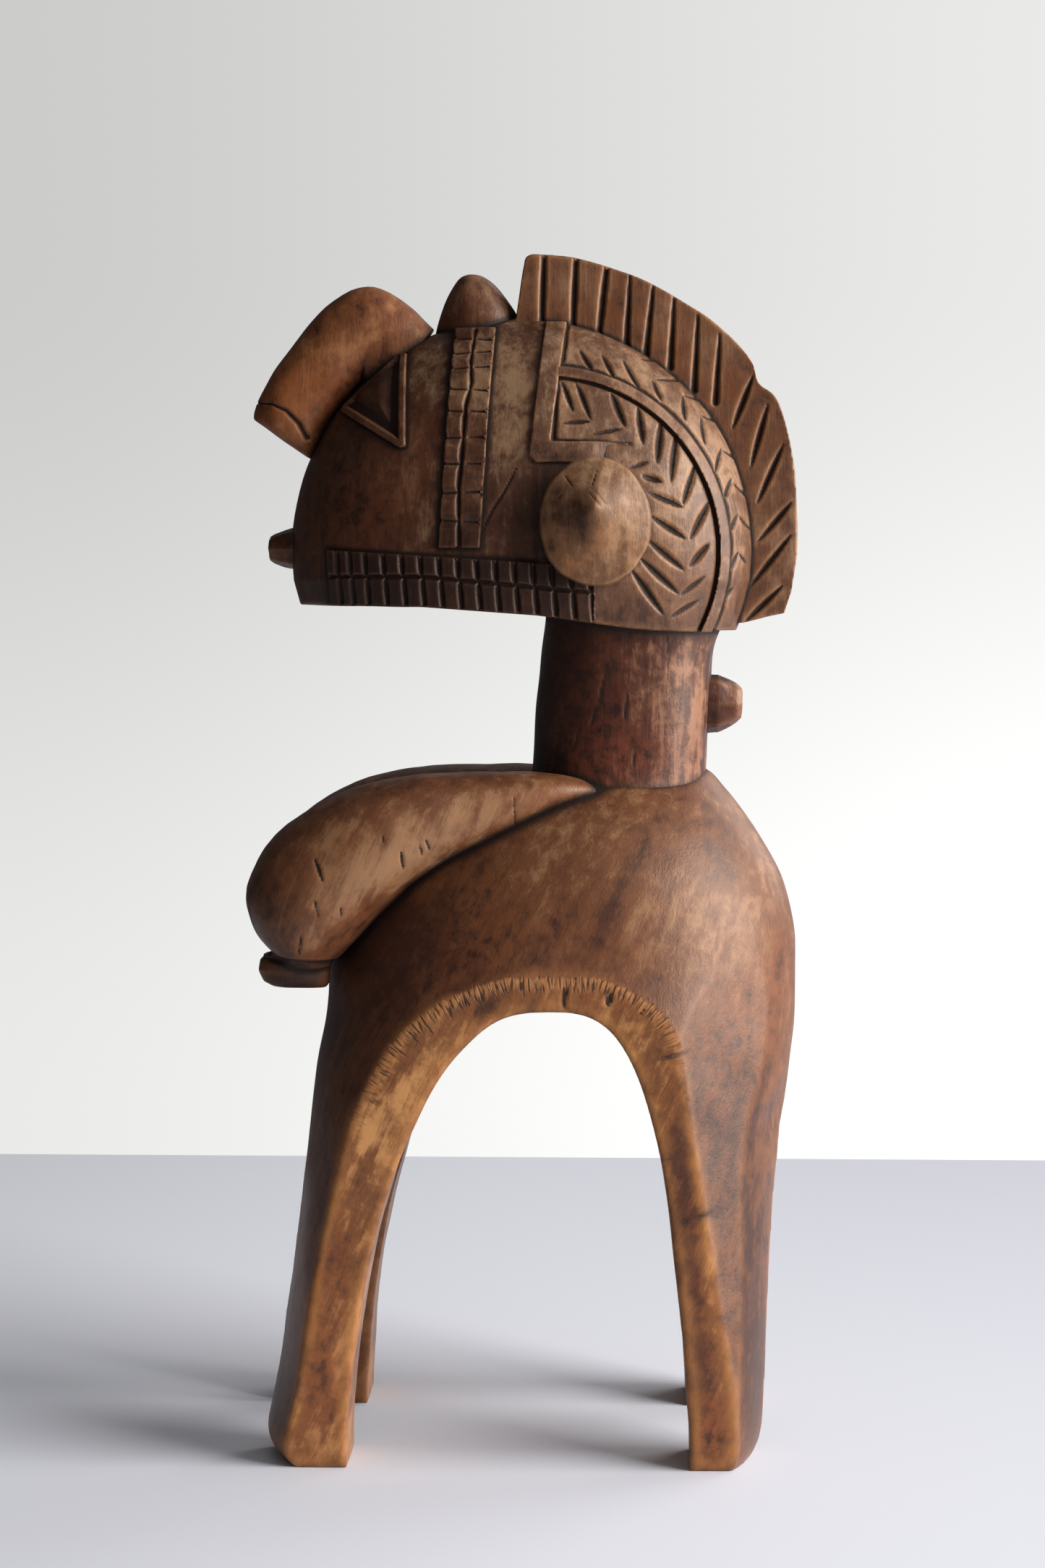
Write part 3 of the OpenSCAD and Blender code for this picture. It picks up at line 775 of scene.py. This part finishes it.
carved = {"torso": body, "neck": neck, "nape_lug": nape_lug, "mouth_lug": mouth_lug,
          "breast_left": breasts[1], "breast_right": breasts[-1], "face": face,
          "coiffure": coiffure, "crest": crest, "forehead_knob": knob, "nose": nose}
for side, word in ((1, "left"), (-1, "right")):
    band = relief("cheek_band_" + word, side, BAND_T, cheek_outline, 3)
    carve(band, cheek_cuts, outside=3, facing=0.0)
    carved["cheek_band_" + word] = band
    band = relief("jaw_band_" + word, side, BAND_T, jaw_outline, 5)
    carve(band, jaw_cuts, outside=5, facing=0.1)
    carved["jaw_band_" + word] = band
    carved["eye_" + word] = eyelids(side, word)
    strip = relief("border_" + word, side, STRIP_T, border_outline(), CREST_T / 2, soften=4)
    # The strip's rear end dies away into the gouged field.
    points = points_of(strip)
    points[:, 0] -= side * STRIP_FALL * smooth_step(points[:, 1], 20, 32)
    place(strip, points)
    carved["border_" + word] = strip
    carved["braid_" + word] = relief("braid_" + word, side, STRIP_T, braid_outline(),
                                     CREST_T / 2, soften=3)
    carved["ear_" + word] = ear(side, word)
    for name in ("cheek_band_", "border_", "braid_"):
        roughen(carved[name + word], 91, (7, 0.08))

# ---------- masks for the patina ----------

SNUG = 0.02
# Rounds of smoothing that tell high from low, and the height and depth that count in full.
ROUNDS, OTHER_ROUNDS = {"torso": 12, "face": 10, "coiffure": 10}, 8
HIGH_SPOT, LOW_SPOT = 0.26, 0.20
POLISH, JAW_POLISH = 0.7, 0.2
for name, piece in carved.items():
    # No chip or bump stands out of the figure's overall size.
    place(piece, np.clip(points_of(piece), np.array(cad_low) / MM + (SNUG, SNUG, 0),
                         np.array(cad_high) / MM - SNUG))
    rise = relief_of(piece, ROUNDS.get(name, OTHER_ROUNDS))
    polish = JAW_POLISH if "jaw" in name else POLISH
    # Hollows are darkened as painted shade; raised spots take the wear.
    store(piece, wear=polish * np.clip(rise / HIGH_SPOT, 0, 1),
          cavity=np.clip(-rise / LOW_SPOT, 0, 1),
          tone=np.full(len(rise), 0.5), warm=np.zeros(len(rise)), bare=np.zeros(len(rise)))


def layer(piece, name):
    return read(piece.data.attributes[name].data, "value", 1)


# Painted shade in the creases where members meet: a member, its neighbours, how far it reaches
# and how dark.
for name, neighbours, reach, strength in (
        ("torso", "breast_left breast_right", 7, 0.9), ("torso", "neck", 3.5, 0.6),
        ("breast_left", "torso", 6, 0.9), ("breast_right", "torso", 6, 0.9),
        ("neck", "face coiffure breast_left", 4, 0.9), ("neck", "torso", 2.5, 0.5),
        ("neck", "nape_lug", 4, 0.7),
        ("face", "nose forehead_knob cheek_band_left jaw_band_left eye_left mouth_lug", 3.5, 0.9),
        ("face", "cheek_band_right jaw_band_right eye_right", 3.5, 0.9),
        ("coiffure", "crest border_left border_right braid_left braid_right", 2.6, 0.8),
        ("coiffure", "ear_left ear_right", 6, 0.9), ("crest", "coiffure", 2.4, 0.9),
        ("forehead_knob", "face crest", 3, 0.9), ("nose", "face", 5, 0.7)):
    piece = carved[name]
    meets = crease_beside(piece, [carved[other] for other in neighbours.split()], reach)
    store(piece, cavity=np.clip(layer(piece, "cavity") + strength * meets ** 1.6, 0, 1))


def paint(name, tone=(), warm=(), grime=(), bare=None):
    """Patches of lighter or redder wood, and of painted shade and grime: strength, then a spot's
    place.
    """
    piece = carved[name]
    points = points_of(piece)
    for field, patches in (("tone", tone), ("warm", warm), ("cavity", grime)):
        values = layer(piece, field)
        for strength, *where in patches:
            values += strength * spot(points, *where)
        store(piece, **{field: np.clip(values, 0, 1)})
    if bare is not None:
        store(piece, bare=np.clip(bare(points, normals_of(piece)), 0, 1))


def bare_band(points, normals):
    """The worn band: the flats inside its edge, and the legs' faces within the arch."""
    off, _ = beyond(points[:, 1:], EDGE)
    flank = (smooth_step(-off + 0.5 * waves(points, 95, 5), -0.7, 0.7)
             * smooth_step(np.abs(points[:, 0]), 50, 52)
             * smooth_step(np.abs(normals[:, 0]), 0.5, 0.8))
    inside = (smooth_step(-normals[:, 1] * np.sign(points[:, 1] - 3), 0.3, 0.8)
              * (np.abs(points[:, 0]) > 27) * (np.abs(points[:, 1] - 3) < 56)
              * (points[:, 2] < 140))
    return np.maximum(flank, 0.8 * inside)


def behind_face(points, normals):
    """Below the border strip, the wood just behind the face is like the face."""
    return (1 - smooth_step(points[:, 1], 12, 26)) * (points[:, 2] < 316)


def mark_edge(piece):
    """Where each point lies off and along the band's edge, and how much that edge is chopped."""
    points = points_of(piece)
    off, at = beyond(points[:, 1:], EDGE)
    length = spans_of(EDGE).sum()
    crown_share = smooth_step(at / length, 0.27, 0.36) * (1 - smooth_step(at / length, 0.6, 0.68))
    chopped = crown_share * smooth_step(np.abs(points[:, 0]), 44, 50)
    store(piece, edge_off=off, edge_run=at, edge_chopped=chopped)


mark_edge(body)
# The first two tone patches darken the front of the upper body, which is turned away from the
# window: painted shade.
paint("torso", tone=[
    (-.42, -45, 150, 26, 30), (-.34, -28, 168, 34, 9, 38), (.2, 4, 188, 24, 8, 40),
    (-.42, 31, 178, 28, 3.6, 65), (-.26, 10, 166, 26, 4, 48), (.2, 50, 172, 18, 20, 20),
    (.2, 72, 170, 10, 24, -20), (-.34, 64, 190, 16, 6, -58), (.16, 34, 201, 9, 7),
    (-.22, 64, 118, 14, 30), (.16, 58, 143, 18, 5, 15), (-.3, -62, 110, 8, 40, 5),
    (-.2, -10, 160, 30, 10), (-.2, 45, 196, 8, 8), (.42, -33, 120, 20, 6, 53),
    (-.2, 0, 144, 20, 3), (.2, 46, 120, 4, 16, 10), (-.06, 50, 172, 20, 25), (.2, 6, 140, 26, 3),
    (-.34, 68, 123, 10, 16), (-.24, 53, 56, 14, 60, 5), (-.18, 72, 26, 6, 20),
    (.16, -36, 122, 14, 10, 53), (.15, -66, 20, 6, 24, 5), (-.3, -78, 60, 8, 70, 5),
    (.2, -44, 104, 5, 12, 30), (.12, -50, 70, 4, 40, 5), (.2, -58, 8, 20, 6),
    (-.25, -62, 44, 4, 26, 5), (-.3, -60, 78, 3, 10), (.2, -56, 30, 2.5, 30, 8),
    (.4, 60.5, 55, 2.6, 40, 5), (-.4, 54.5, 50, 3, 60, 5), (-.3, 66, 14, 14, 12),
    (-.9, 57.5, 80.5, 5, 2.2, 18), (-.3, 76, 40, 5, 50, 2), (-.22, 72, 22, 10, 26),
    (-.25, 66, 90, 8, 34, 4)
], warm=[
    (.6, 78, 150, 12, 26), (.4, 30, 160, 25, 15, 30), (.35, -10, 160, 30, 10, 20),
    (.6, -64, 34, 7, 36, 4), (.4, -54, 60, 4, 60, 5), (.5, -57, 28, 2, 34, 8),
    (.6, 60, 12, 12, 12), (.5, 66.5, 60, 2, 50, 3), (.5, 80, 50, 3, 60), (.6, 64, 126, 12, 22),
    (.45, -12, 172, 22, 14, 20), (.25, 56, 50, 8, 50, 5)
], grime=[
    # More of the painted shade and grime: darker by the corner flat, in a split and at the knot,
    # lighter in the back's gouge.
    (.8, 48.5, 130, 6, 1.0, 14), (.6, 58, 80.5, 4.5, 1.3, 18), (.5, 52, 78.5, 1.6, 2),
    (.5, 29, 148, 1.2, 4), (-1, 84, 106, 12, 12)
], bare=bare_band)
paint("breast_left", tone=[
    # The first tone patch, lighter along the breast's upper side, is a painted highlight.
    (.42, -34, 191, 30, 7, 20), (.3, -58, 196, 12, 5, 35), (-.45, -80, 168, 12, 20),
    (.3, -64, 160, 5, 8, 10), (-.8, -74, 151, 16, 6.5), (-.4, -40, 171, 30, 5, 34),
    (-.2, -40, 210, 36, 4, 10), (.3, -17, 205, 14, 5, 12), (-.3, -66, 186, 6, 10, -20),
    (.08, -50, 182, 34, 26)
], warm=[
    (.5, -50, 166, 16, 6, 42), (.3, -2, 203, 14, 8, 10), (.3, -55, 195, 20, 9, 30)
], grime=[
    # Painted shade under the nipple, in the crease over it and along the breast's lower edge.
    (.6, -74, 149, 14, 6), (.45, -70, 155.5, 14, 1.6), (.25, -44, 166, 26, 3, 38)
])
paint("breast_right", tone=[
    (.2, -30, 190, 34, 12, 17), (-.3, -78, 172, 14, 18), (-.5, -78, 151, 16, 6)
], grime=[
    # Painted shade under the nipple.
    (.5, -74, 149, 14, 5)
])
# The lighter patch at y 50 stands in for the sheen on the back of the neck: a painted highlight.
paint("neck", tone=[
    (-.6, 3, 240, 16, 60), (.24, 50, 243, 7, 28), (.3, 53, 220, 6, 9), (-.26, 23, 240, 9, 50),
    (-.2, 36, 262, 20, 6)
], warm=[
    (.5, 27, 236, 14, 40), (.7, 38, 221, 18, 7)
])
paint("nape_lug", tone=[(.6, 72, 236, 3, 9), (-.25, 62, 238, 6, 9)], warm=[(.6, 70, 234, 6, 9)])
FACE_TONE = [
    (-.3, -62, 300, 22, 40), (-.3, -50, 272, 40, 8), (.34, -2, 335, 8, 22),
    (.16, -40, 310, 12, 12), (.14, -30, 335, 8, 14), (-.2, 2, 296, 14, 12), (.12, -3, 318, 8, 6)
]
FACE_WARM = [(.55, -40, 306, 14, 18), (.4, -52, 290, 16, 16), (.3, -30, 322, 8, 14)]
paint("face", tone=FACE_TONE, warm=FACE_WARM)
paint("nose", tone=[
    (.35, -54, 350, 14, 6, 40), (.2, -72, 338, 8, 10), (-.32, -58, 332, 8, 12, 35),
    (.14, -80, 324, 14, 4, -40), (-.2, -46, 348, 14, 4, 50)
], warm=[
    (.7, -75, 340, 14, 16, 50), (.6, -64, 334, 10, 8)
])
paint("forehead_knob", tone=[
    (.22, -16, 370, 12, 8), (-.2, -12, 356, 14, 5)
], warm=[
    (.6, -18, 366, 12, 10)
])
paint("mouth_lug", tone=[(.15, -80, 285, 4, 8)], warm=[(.5, -80, 285, 6, 8)])
paint("coiffure", tone=FACE_TONE + [
    (.2, 35, 332, 26, 16, -30), (.2, 60, 310, 12, 24, 20), (-.2, 45, 268, 40, 7),
    (.14, 22, 340, 16, 8), (.2, 48, 306, 9, 9)
], warm=FACE_WARM + [
    (.5, 55, 278, 18, 16)
], grime=[
    # Less painted shade just above the ear.
    (-1, 32, 315.5, 5, 3.4)
], bare=behind_face)
paint("crest", tone=[
    (-.25, 5, 362, 6, 6), (.1, 45, 362, 30, 8, -35), (-.2, 74, 325, 8, 18, -20),
    (.45, 90, 292, 4, 34), (.2, 82, 276, 8, 8)
], warm=[
    (1, 45, 330, 120, 120), (-.45, 86, 300, 14, 44)
])
for word in ("left", "right"):
    paint("ear_" + word, tone=[
        (.3, 34, 293, 6, 14), (.2, 22, 308, 9, 5), (-.36, 19.5, 295, 2.2, 7, 12),
        (-.26, 11, 296, 4, 12), (-.2, 26, 278, 10, 4)
    ], warm=[
        (.9, 25.5, 288.5, 3, 6, -20), (.7, 16, 281, 5, 7, 30), (.2, 34, 284, 6, 8)
    ])
    paint("cheek_band_" + word, tone=[
        (.34, -12, 340, 8, 14), (-.3, -20, 292, 10, 14)
    ], warm=[
        (.3, -16, 335, 8, 16)
    ])
    paint("jaw_band_" + word, tone=[(-.75, -20, 275, 70, 14)])
    paint("eye_" + word, tone=[
        (-.25, -48, 335, 12, 12), (.2, -37, 332, 2, 16)
    ], warm=[
        (.5, -37, 328, 2.5, 16), (.4, -46, 324, 12, 3, -30)
    ])
    paint("border_" + word, tone=[(.1, 8, 340, 6, 16), (-.2, 20, 313, 16, 5)])
    paint("braid_" + word, tone=[(.2, 45, 325, 30, 30)], warm=[(.5, 50, 318, 22, 30)])

# The legs part from the body at one level, with no seam in the carved surface.
for side, word in ((1, "left"), (-1, "right")):
    for end, place_word in ((-1, "front"), (1, "rear")):
        name = f"leg_{place_word}_{word}"
        leg = copy_of(body, name)
        shave(leg, (0, 0, LEG_TOP), (0, 0, 1))
        shave(leg, (0, 0, 0), (-side, 0, 0))
        shave(leg, (0, 0, 0), (0, -end, 0))
        carved[name] = leg
shave(body, (0, 0, LEG_TOP), (0, 0, -1))

# ---------- finishes ----------

class Net:
    """A shader's nodes. Each method adds one and gives its result; it takes results of others,
    plain numbers or colours."""

    def __init__(self, tree):
        self.nodes, self.links = tree.nodes, tree.links

    def feed(self, socket, value):
        if isinstance(value, (int, float)):
            socket.default_value = value
        elif isinstance(value, tuple):
            socket.default_value = (*value, 1)
        else:
            self.links.new(value, socket)

    def sum(self, how, a, b, clamp=False):
        n = self.nodes.new("ShaderNodeMath")
        n.operation, n.use_clamp = how, clamp
        self.feed(n.inputs[0], a)
        self.feed(n.inputs[1], b)
        return n.outputs[0]

    def plus(self, a, b):
        return self.sum("ADD", a, b)

    def minus(self, a, b):
        return self.sum("SUBTRACT", a, b)

    def times(self, a, b, clamp=False):
        return self.sum("MULTIPLY", a, b, clamp)

    def swing(self, value, width):
        """A noise's ups and downs, this much wide."""
        return self.times(self.minus(value, 0.5), width)

    def blend(self, a, b, share):
        n = self.nodes.new("ShaderNodeMix")
        n.data_type = "RGBA"
        for socket, value in ((0, share), (6, a), (7, b)):
            self.feed(n.inputs[socket], value)
        return n.outputs[2]

    def span(self, value, low, high, to_low=0.0, to_high=1.0):
        n = self.nodes.new("ShaderNodeMapRange")
        n.interpolation_type = "SMOOTHSTEP"
        for socket, v in enumerate((value, low, high, to_low, to_high)):
            self.feed(n.inputs[socket], v)
        return n.outputs[0]

    def noise(self, vector, scale, detail, rough, twist=0.0):
        n = self.nodes.new("ShaderNodeTexNoise")
        for socket, value in (("Vector", vector), ("Scale", scale), ("Detail", detail),
                              ("Roughness", rough), ("Distortion", twist)):
            self.feed(n.inputs[socket], value)
        return n.outputs["Fac"]

    def mask(self, name):
        n = self.nodes.new("ShaderNodeAttribute")
        n.attribute_name = name
        return n.outputs["Fac"]

    def group(self, tree, **given):
        n = self.nodes.new("ShaderNodeGroup")
        n.node_tree = tree
        for socket, value in given.items():
            self.feed(n.inputs[socket], value)
        return n.outputs


VALUE, COLOR, VECTOR = "NodeSocketFloat", "NodeSocketColor", "NodeSocketVector"


def new_group(name, takes, gives):
    g = bpy.data.node_groups.new(name, "ShaderNodeTree")
    for way, sockets in (("INPUT", takes), ("OUTPUT", gives)):
        for names, kind in sockets:
            for socket in names.split():
                g.interface.new_socket(socket, in_out=way, socket_type=kind)
    return (g, Net(g), g.nodes.new("NodeGroupInput").outputs,
            g.nodes.new("NodeGroupOutput").inputs)


def patina_group():
    """Hand-rubbed wood. Grain is the place on the wood, drawn out along its fibres; the
    masks kept with each mesh say where it is light, red and worn, and where painted shade and
    grime darken it."""
    g, net, given, out = new_group(
        "wood_patina",
        (("Place Grain", VECTOR), ("Light Mid Dark Red Worn Grime", COLOR),
         ("Streaks Blotches", VALUE)),
        (("Color", COLOR), ("Roughness Height", VALUE)))
    streak = net.noise(given["Grain"], 260, 4, 0.6, 0.4)
    fibre = net.noise(given["Grain"], 1500, 3, 0.6)
    cloud = net.noise(given["Place"], 55, 4, 0.6, 0.3)
    mottle = net.noise(given["Place"], 240, 4, 0.65, 0.3)
    dust = net.noise(given["Place"], 1500, 2, 0.6)

    tone = net.plus(net.mask("tone"), net.swing(streak, given["Streaks"]))
    uneven = net.plus(net.swing(cloud, 1.1), net.swing(mottle, 1.1))
    tone = net.plus(tone, net.times(uneven, given["Blotches"]))
    tone = net.plus(tone, net.swing(fibre, 0.4))
    color = net.blend(given["Dark"], given["Mid"], net.span(tone, 0.0, 0.5))
    color = net.blend(color, given["Light"], net.span(tone, 0.45, 1.0))
    red = net.times(net.mask("warm"), net.span(mottle, 0.3, 0.6))
    color = net.blend(color, given["Red"], net.times(red, 0.8, True))
    wear = net.times(net.mask("wear"), net.span(cloud, 0.35, 0.6, 0.35, 1.0))
    color = net.blend(color, given["Worn"], net.times(wear, 0.7, True))
    # Painted shade in creases and hollows, mixed with dust: it darkens the colour and adds
    # roughness.
    grime = net.plus(net.mask("cavity"), net.swing(dust, 0.3))
    grime = net.span(grime, 0.14, 0.72, 0.0, 0.97)
    net.feed(out["Color"], net.blend(color, given["Grime"], grime))

    rough = net.plus(net.times(dust, 0.12), net.times(grime, 0.25))
    rough = net.plus(rough, net.times(cloud, 0.12))
    net.feed(out["Roughness"], net.plus(rough, 0.28))
    height = net.plus(net.times(fibre, 0.35), net.times(streak, 0.5))
    height = net.plus(height, net.times(mottle, 0.5))
    net.feed(out["Height"], net.plus(height, net.times(dust, 0.25)))
    return g


def chopped_edge_group():
    """The chopped fringe along the band's edge: dark slits, and a bright worn line between."""
    g, net, given, out = new_group("chopped_edge", (("Wood", COLOR),),
                                   (("Color", COLOR), ("Height", VALUE)))

    def drawn(across, down, seed):
        """Noise in millimetres along and off the edge, drawn out across it."""
        n = net.nodes.new("ShaderNodeCombineXYZ")
        for socket, value in enumerate((net.times(net.mask("edge_run"), across),
                                        net.times(net.mask("edge_off"), down), seed)):
            net.feed(n.inputs[socket], value)
        return net.noise(n.outputs[0], 1.0, 2, 0.5)

    ragged = net.minus(drawn(0.7, 0.02, 4.0), 0.5)
    off, chopped = net.mask("edge_off"), net.mask("edge_chopped")
    top = net.plus(off, net.times(ragged, 5.0))
    foot = net.plus(off, net.times(ragged, -14.0))
    slits = net.span(drawn(1.15, 0.12, 9.0), 0.50, 0.58)
    slits = net.times(slits, net.span(top, 1.3, 0.5))
    slits = net.times(net.times(slits, net.span(foot, -4.2, -2.2)), chopped)
    line = net.times(net.span(top, 1.2, 0.3), net.span(foot, -3.0, -0.6))
    line = net.times(line, chopped)
    color = net.blend(given["Wood"], TORN, net.times(line, 0.75))
    net.feed(out["Color"], net.blend(color, SLIT, net.times(slits, 0.85)))
    net.feed(out["Height"], slits)
    return g


# The worn line, the slits, and the near-black of the painted shade and grime.
TORN, SLIT, SHADE_AND_GRIME = (0.40, 0.17, 0.06), (0.03, 0.013, 0.009), (0.012, 0.006, 0.005)
PATINA = patina_group()
CHOPPED = chopped_edge_group()
FIBRES = (1.0, 1.0, 0.14)
DENT_DEPTH, DENT_STRENGTH = 0.0006, 0.35
SHEEN = (1.0, 0.82, 0.70, 1)


def wood(name, palette, streaks=0.9, turn=0, blotches=1.0, bare=None, bare_blotches=1.0,
         chopped=False, shine=0.32):
    """One finish: a palette of light, middle, dark, red and worn wood. Its fibres lean by
    turn in degrees; bare is a second palette, used where the bare mask says."""
    m = bpy.data.materials.new(name)
    m.use_nodes = True
    net = Net(m.node_tree)
    surface = net.nodes["Principled BSDF"].inputs
    where = net.nodes.new("ShaderNodeTexCoord").outputs["Object"]
    turned, drawn = (net.nodes.new("ShaderNodeMapping") for _ in range(2))
    turned.inputs["Rotation"].default_value = (math.radians(turn), 0, 0)
    drawn.inputs["Scale"].default_value = FIBRES
    net.feed(turned.inputs["Vector"], where)
    net.feed(drawn.inputs["Vector"], turned.outputs[0])

    def coat(palette, blotches):
        light, mid, dark, red, worn = palette
        return net.group(PATINA, Place=where, Grain=drawn.outputs[0], Light=light, Mid=mid,
                         Dark=dark, Red=red, Worn=worn, Grime=SHADE_AND_GRIME, Streaks=streaks,
                         Blotches=blotches)

    main = coat(palette, blotches)
    color, height = main["Color"], main["Height"]
    if bare:
        color = net.blend(color, coat(bare, bare_blotches)["Color"], net.mask("bare"))
    if chopped:
        fringe = net.group(CHOPPED, Wood=color)
        color, height = fringe["Color"], net.minus(height, fringe["Height"])
    dents = net.nodes.new("ShaderNodeBump")
    for socket, value in (("Strength", DENT_STRENGTH), ("Distance", DENT_DEPTH),
                          ("Height", height)):
        net.feed(dents.inputs[socket], value)
    for socket, value in (("Base Color", color), ("Roughness", main["Roughness"]),
                          ("Normal", dents.outputs[0]), ("Specular IOR Level", shine)):
        net.feed(surface[socket], value)
    surface["Specular Tint"].default_value = SHEEN
    return m


# Palettes: light, middle, dark, red and worn wood.
BARE = ((0.50, 0.236, 0.085), (0.172, 0.062, 0.023), (0.055, 0.021, 0.014), (0.28, 0.078, 0.024),
        (0.45, 0.19, 0.055))
FACE = ((0.22, 0.125, 0.068), (0.060, 0.0225, 0.0125), (0.019, 0.008, 0.006),
        (0.125, 0.036, 0.013), (0.19, 0.085, 0.038))
BODY = ((0.25, 0.128, 0.062), (0.108, 0.039, 0.0175), (0.034, 0.013, 0.010),
        (0.18, 0.056, 0.020), (0.33, 0.13, 0.045))
NECK = ((0.24, 0.11, 0.06), (0.052, 0.0155, 0.0095), (0.014, 0.0055, 0.005),
        (0.13, 0.028, 0.012), (0.26, 0.12, 0.05))
NOSE = ((0.28, 0.12, 0.05), (0.145, 0.048, 0.018), (0.04, 0.014, 0.009),
        (0.22, 0.062, 0.016), (0.27, 0.105, 0.036))
EAR = ((0.30, 0.165, 0.085), (0.135, 0.064, 0.033), (0.045, 0.019, 0.012),
       (0.23, 0.08, 0.024), (0.34, 0.18, 0.08))
HAIR = ((0.27, 0.155, 0.09), (0.098, 0.044, 0.024), (0.034, 0.014, 0.010),
        (0.13, 0.039, 0.012), (0.30, 0.14, 0.055))
finish_of_body = {"streaks": 1.2, "turn": 24, "blotches": 0.6, "bare": BARE,
                  "bare_blotches": 0.85, "chopped": True, "shine": 0.42}
woods = {name: wood(name, palette, **how) for name, palette, how in (
    ("body_wood", BODY, finish_of_body), ("leg_wood", BODY, finish_of_body),
    ("neck_wood", NECK, {"streaks": 1.6, "shine": 0.42}),
    ("face_wood", FACE, {"blotches": 0.75}), ("nose_wood", NOSE, {}), ("ear_wood", EAR, {}),
    ("hair_wood", HAIR, {"bare": FACE, "bare_blotches": 0.75, "shine": 0.42}))}
slots = {entry["node"]: entry["material_slot"] for entry in frame["record"]["subparts"]}
for name, piece in carved.items():
    slot = slots[name]
    piece.name = name + "_carved"
    piece.data.materials.clear()
    piece.data.materials.append(woods[slot])
    piece.data.polygons.foreach_set("use_smooth", [True] * len(piece.data.polygons))
    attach(piece, "root")
    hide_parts(name)

# ---------- floor, light and camera ----------

FLOOR_REACH, FLOOR_NARROWED = 1.5, 0.333
bm = bmesh.new()
bmesh.ops.create_grid(bm, x_segments=1, y_segments=1, size=FLOOR_REACH)
bmesh.ops.scale(bm, vec=(FLOOR_NARROWED, 1, 1), verts=bm.verts)
floor = piece_from("floor", bm)
floor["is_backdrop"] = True
paint_white = bpy.data.materials.new("painted_table")
paint_white.use_nodes = True
net = Net(paint_white.node_tree)
shader = net.nodes["Principled BSDF"].inputs
# Painted shade: the table's colour is darker on the window's side, where more light falls on it.
along = net.nodes.new("ShaderNodeSeparateXYZ")
net.feed(along.inputs[0], net.nodes.new("ShaderNodeTexCoord").outputs["Object"])
painted_shade_share = net.span(along.outputs["Y"], -0.1, 0.35)
net.feed(shader["Base Color"], net.blend((0.78, 0.78, 0.83), (0.60, 0.60, 0.65), painted_shade_share))
shader["Roughness"].default_value = 0.6
floor.data.materials.append(paint_white)

world = bpy.data.worlds.new("room")
bpy.context.scene.world = world
world.use_nodes = True
net = Net(world.node_tree)
way = net.nodes.new("ShaderNodeSeparateXYZ")
net.feed(way.inputs[0], net.nodes.new("ShaderNodeTexCoord").outputs["Generated"])
sky, wall = net.nodes["Background"], net.nodes.new("ShaderNodeBackground")
net.feed(sky.inputs["Color"], (0.95, 0.97, 1.0))
net.feed(wall.inputs["Color"], (0.83, 0.83, 0.82))
# The room is bright on the window's side and dim on the other.
net.feed(sky.inputs["Strength"], net.span(way.outputs["Y"], -0.5, 1.0, 0.06, 0.75))
# Painted light on the wall seen behind the figure: brighter on the window's side and towards the
# bottom.
net.feed(wall.inputs["Strength"], net.times(
    net.span(way.outputs["Y"], -0.22, 0.18, 0.76, 1.06),
    net.span(way.outputs["Z"], -0.16, 0.10, 1.30, 0.95)))
either = net.nodes.new("ShaderNodeMixShader")
seen = net.nodes.new("ShaderNodeLightPath").outputs["Is Camera Ray"]
for socket, value in enumerate((seen, sky.outputs[0], wall.outputs[0])):
    net.feed(either.inputs[socket], value)
net.feed(net.nodes["World Output"].inputs["Surface"], either.outputs[0])


def aim(thing, at, way):
    """Puts a lamp or a camera in its place, looking this way."""
    thing.location = at
    thing.rotation_mode = "QUATERNION"
    thing.rotation_quaternion = way.to_track_quat("-Z", "Y")
    bpy.context.scene.collection.objects.link(thing)


def window(name, at, size, power):
    light = bpy.data.lights.new(name, "AREA")
    light.shape, light.size, light.energy = "SQUARE", size, power
    aim(bpy.data.objects.new(name, light), at, Vector((0, 0, 0.2)) - Vector(at))


window("window", (0.5, 1.3, 0.65), 1.1, 42)
window("far_window", (-0.8, 1.0, 0.8), 0.9, 6)

LENS, SENSOR, EYE = 75.0, 36.0, (1.0534, 0.0368, 0.2753)
AZIMUTH, ELEVATION = math.radians(92.0), math.radians(3.53)
back_way = Vector((math.sin(AZIMUTH) * math.cos(ELEVATION),
                   -math.cos(AZIMUTH) * math.cos(ELEVATION), math.sin(ELEVATION)))
camera = bpy.data.objects.new("camera", bpy.data.cameras.new("camera"))
camera.data.lens, camera.data.sensor_width = LENS, SENSOR
camera.data.clip_start = 0.05
aim(camera, EYE, -back_way)
bpy.context.scene.camera = camera
bpy.context.scene.view_settings.view_transform = "Standard"

low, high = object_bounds()
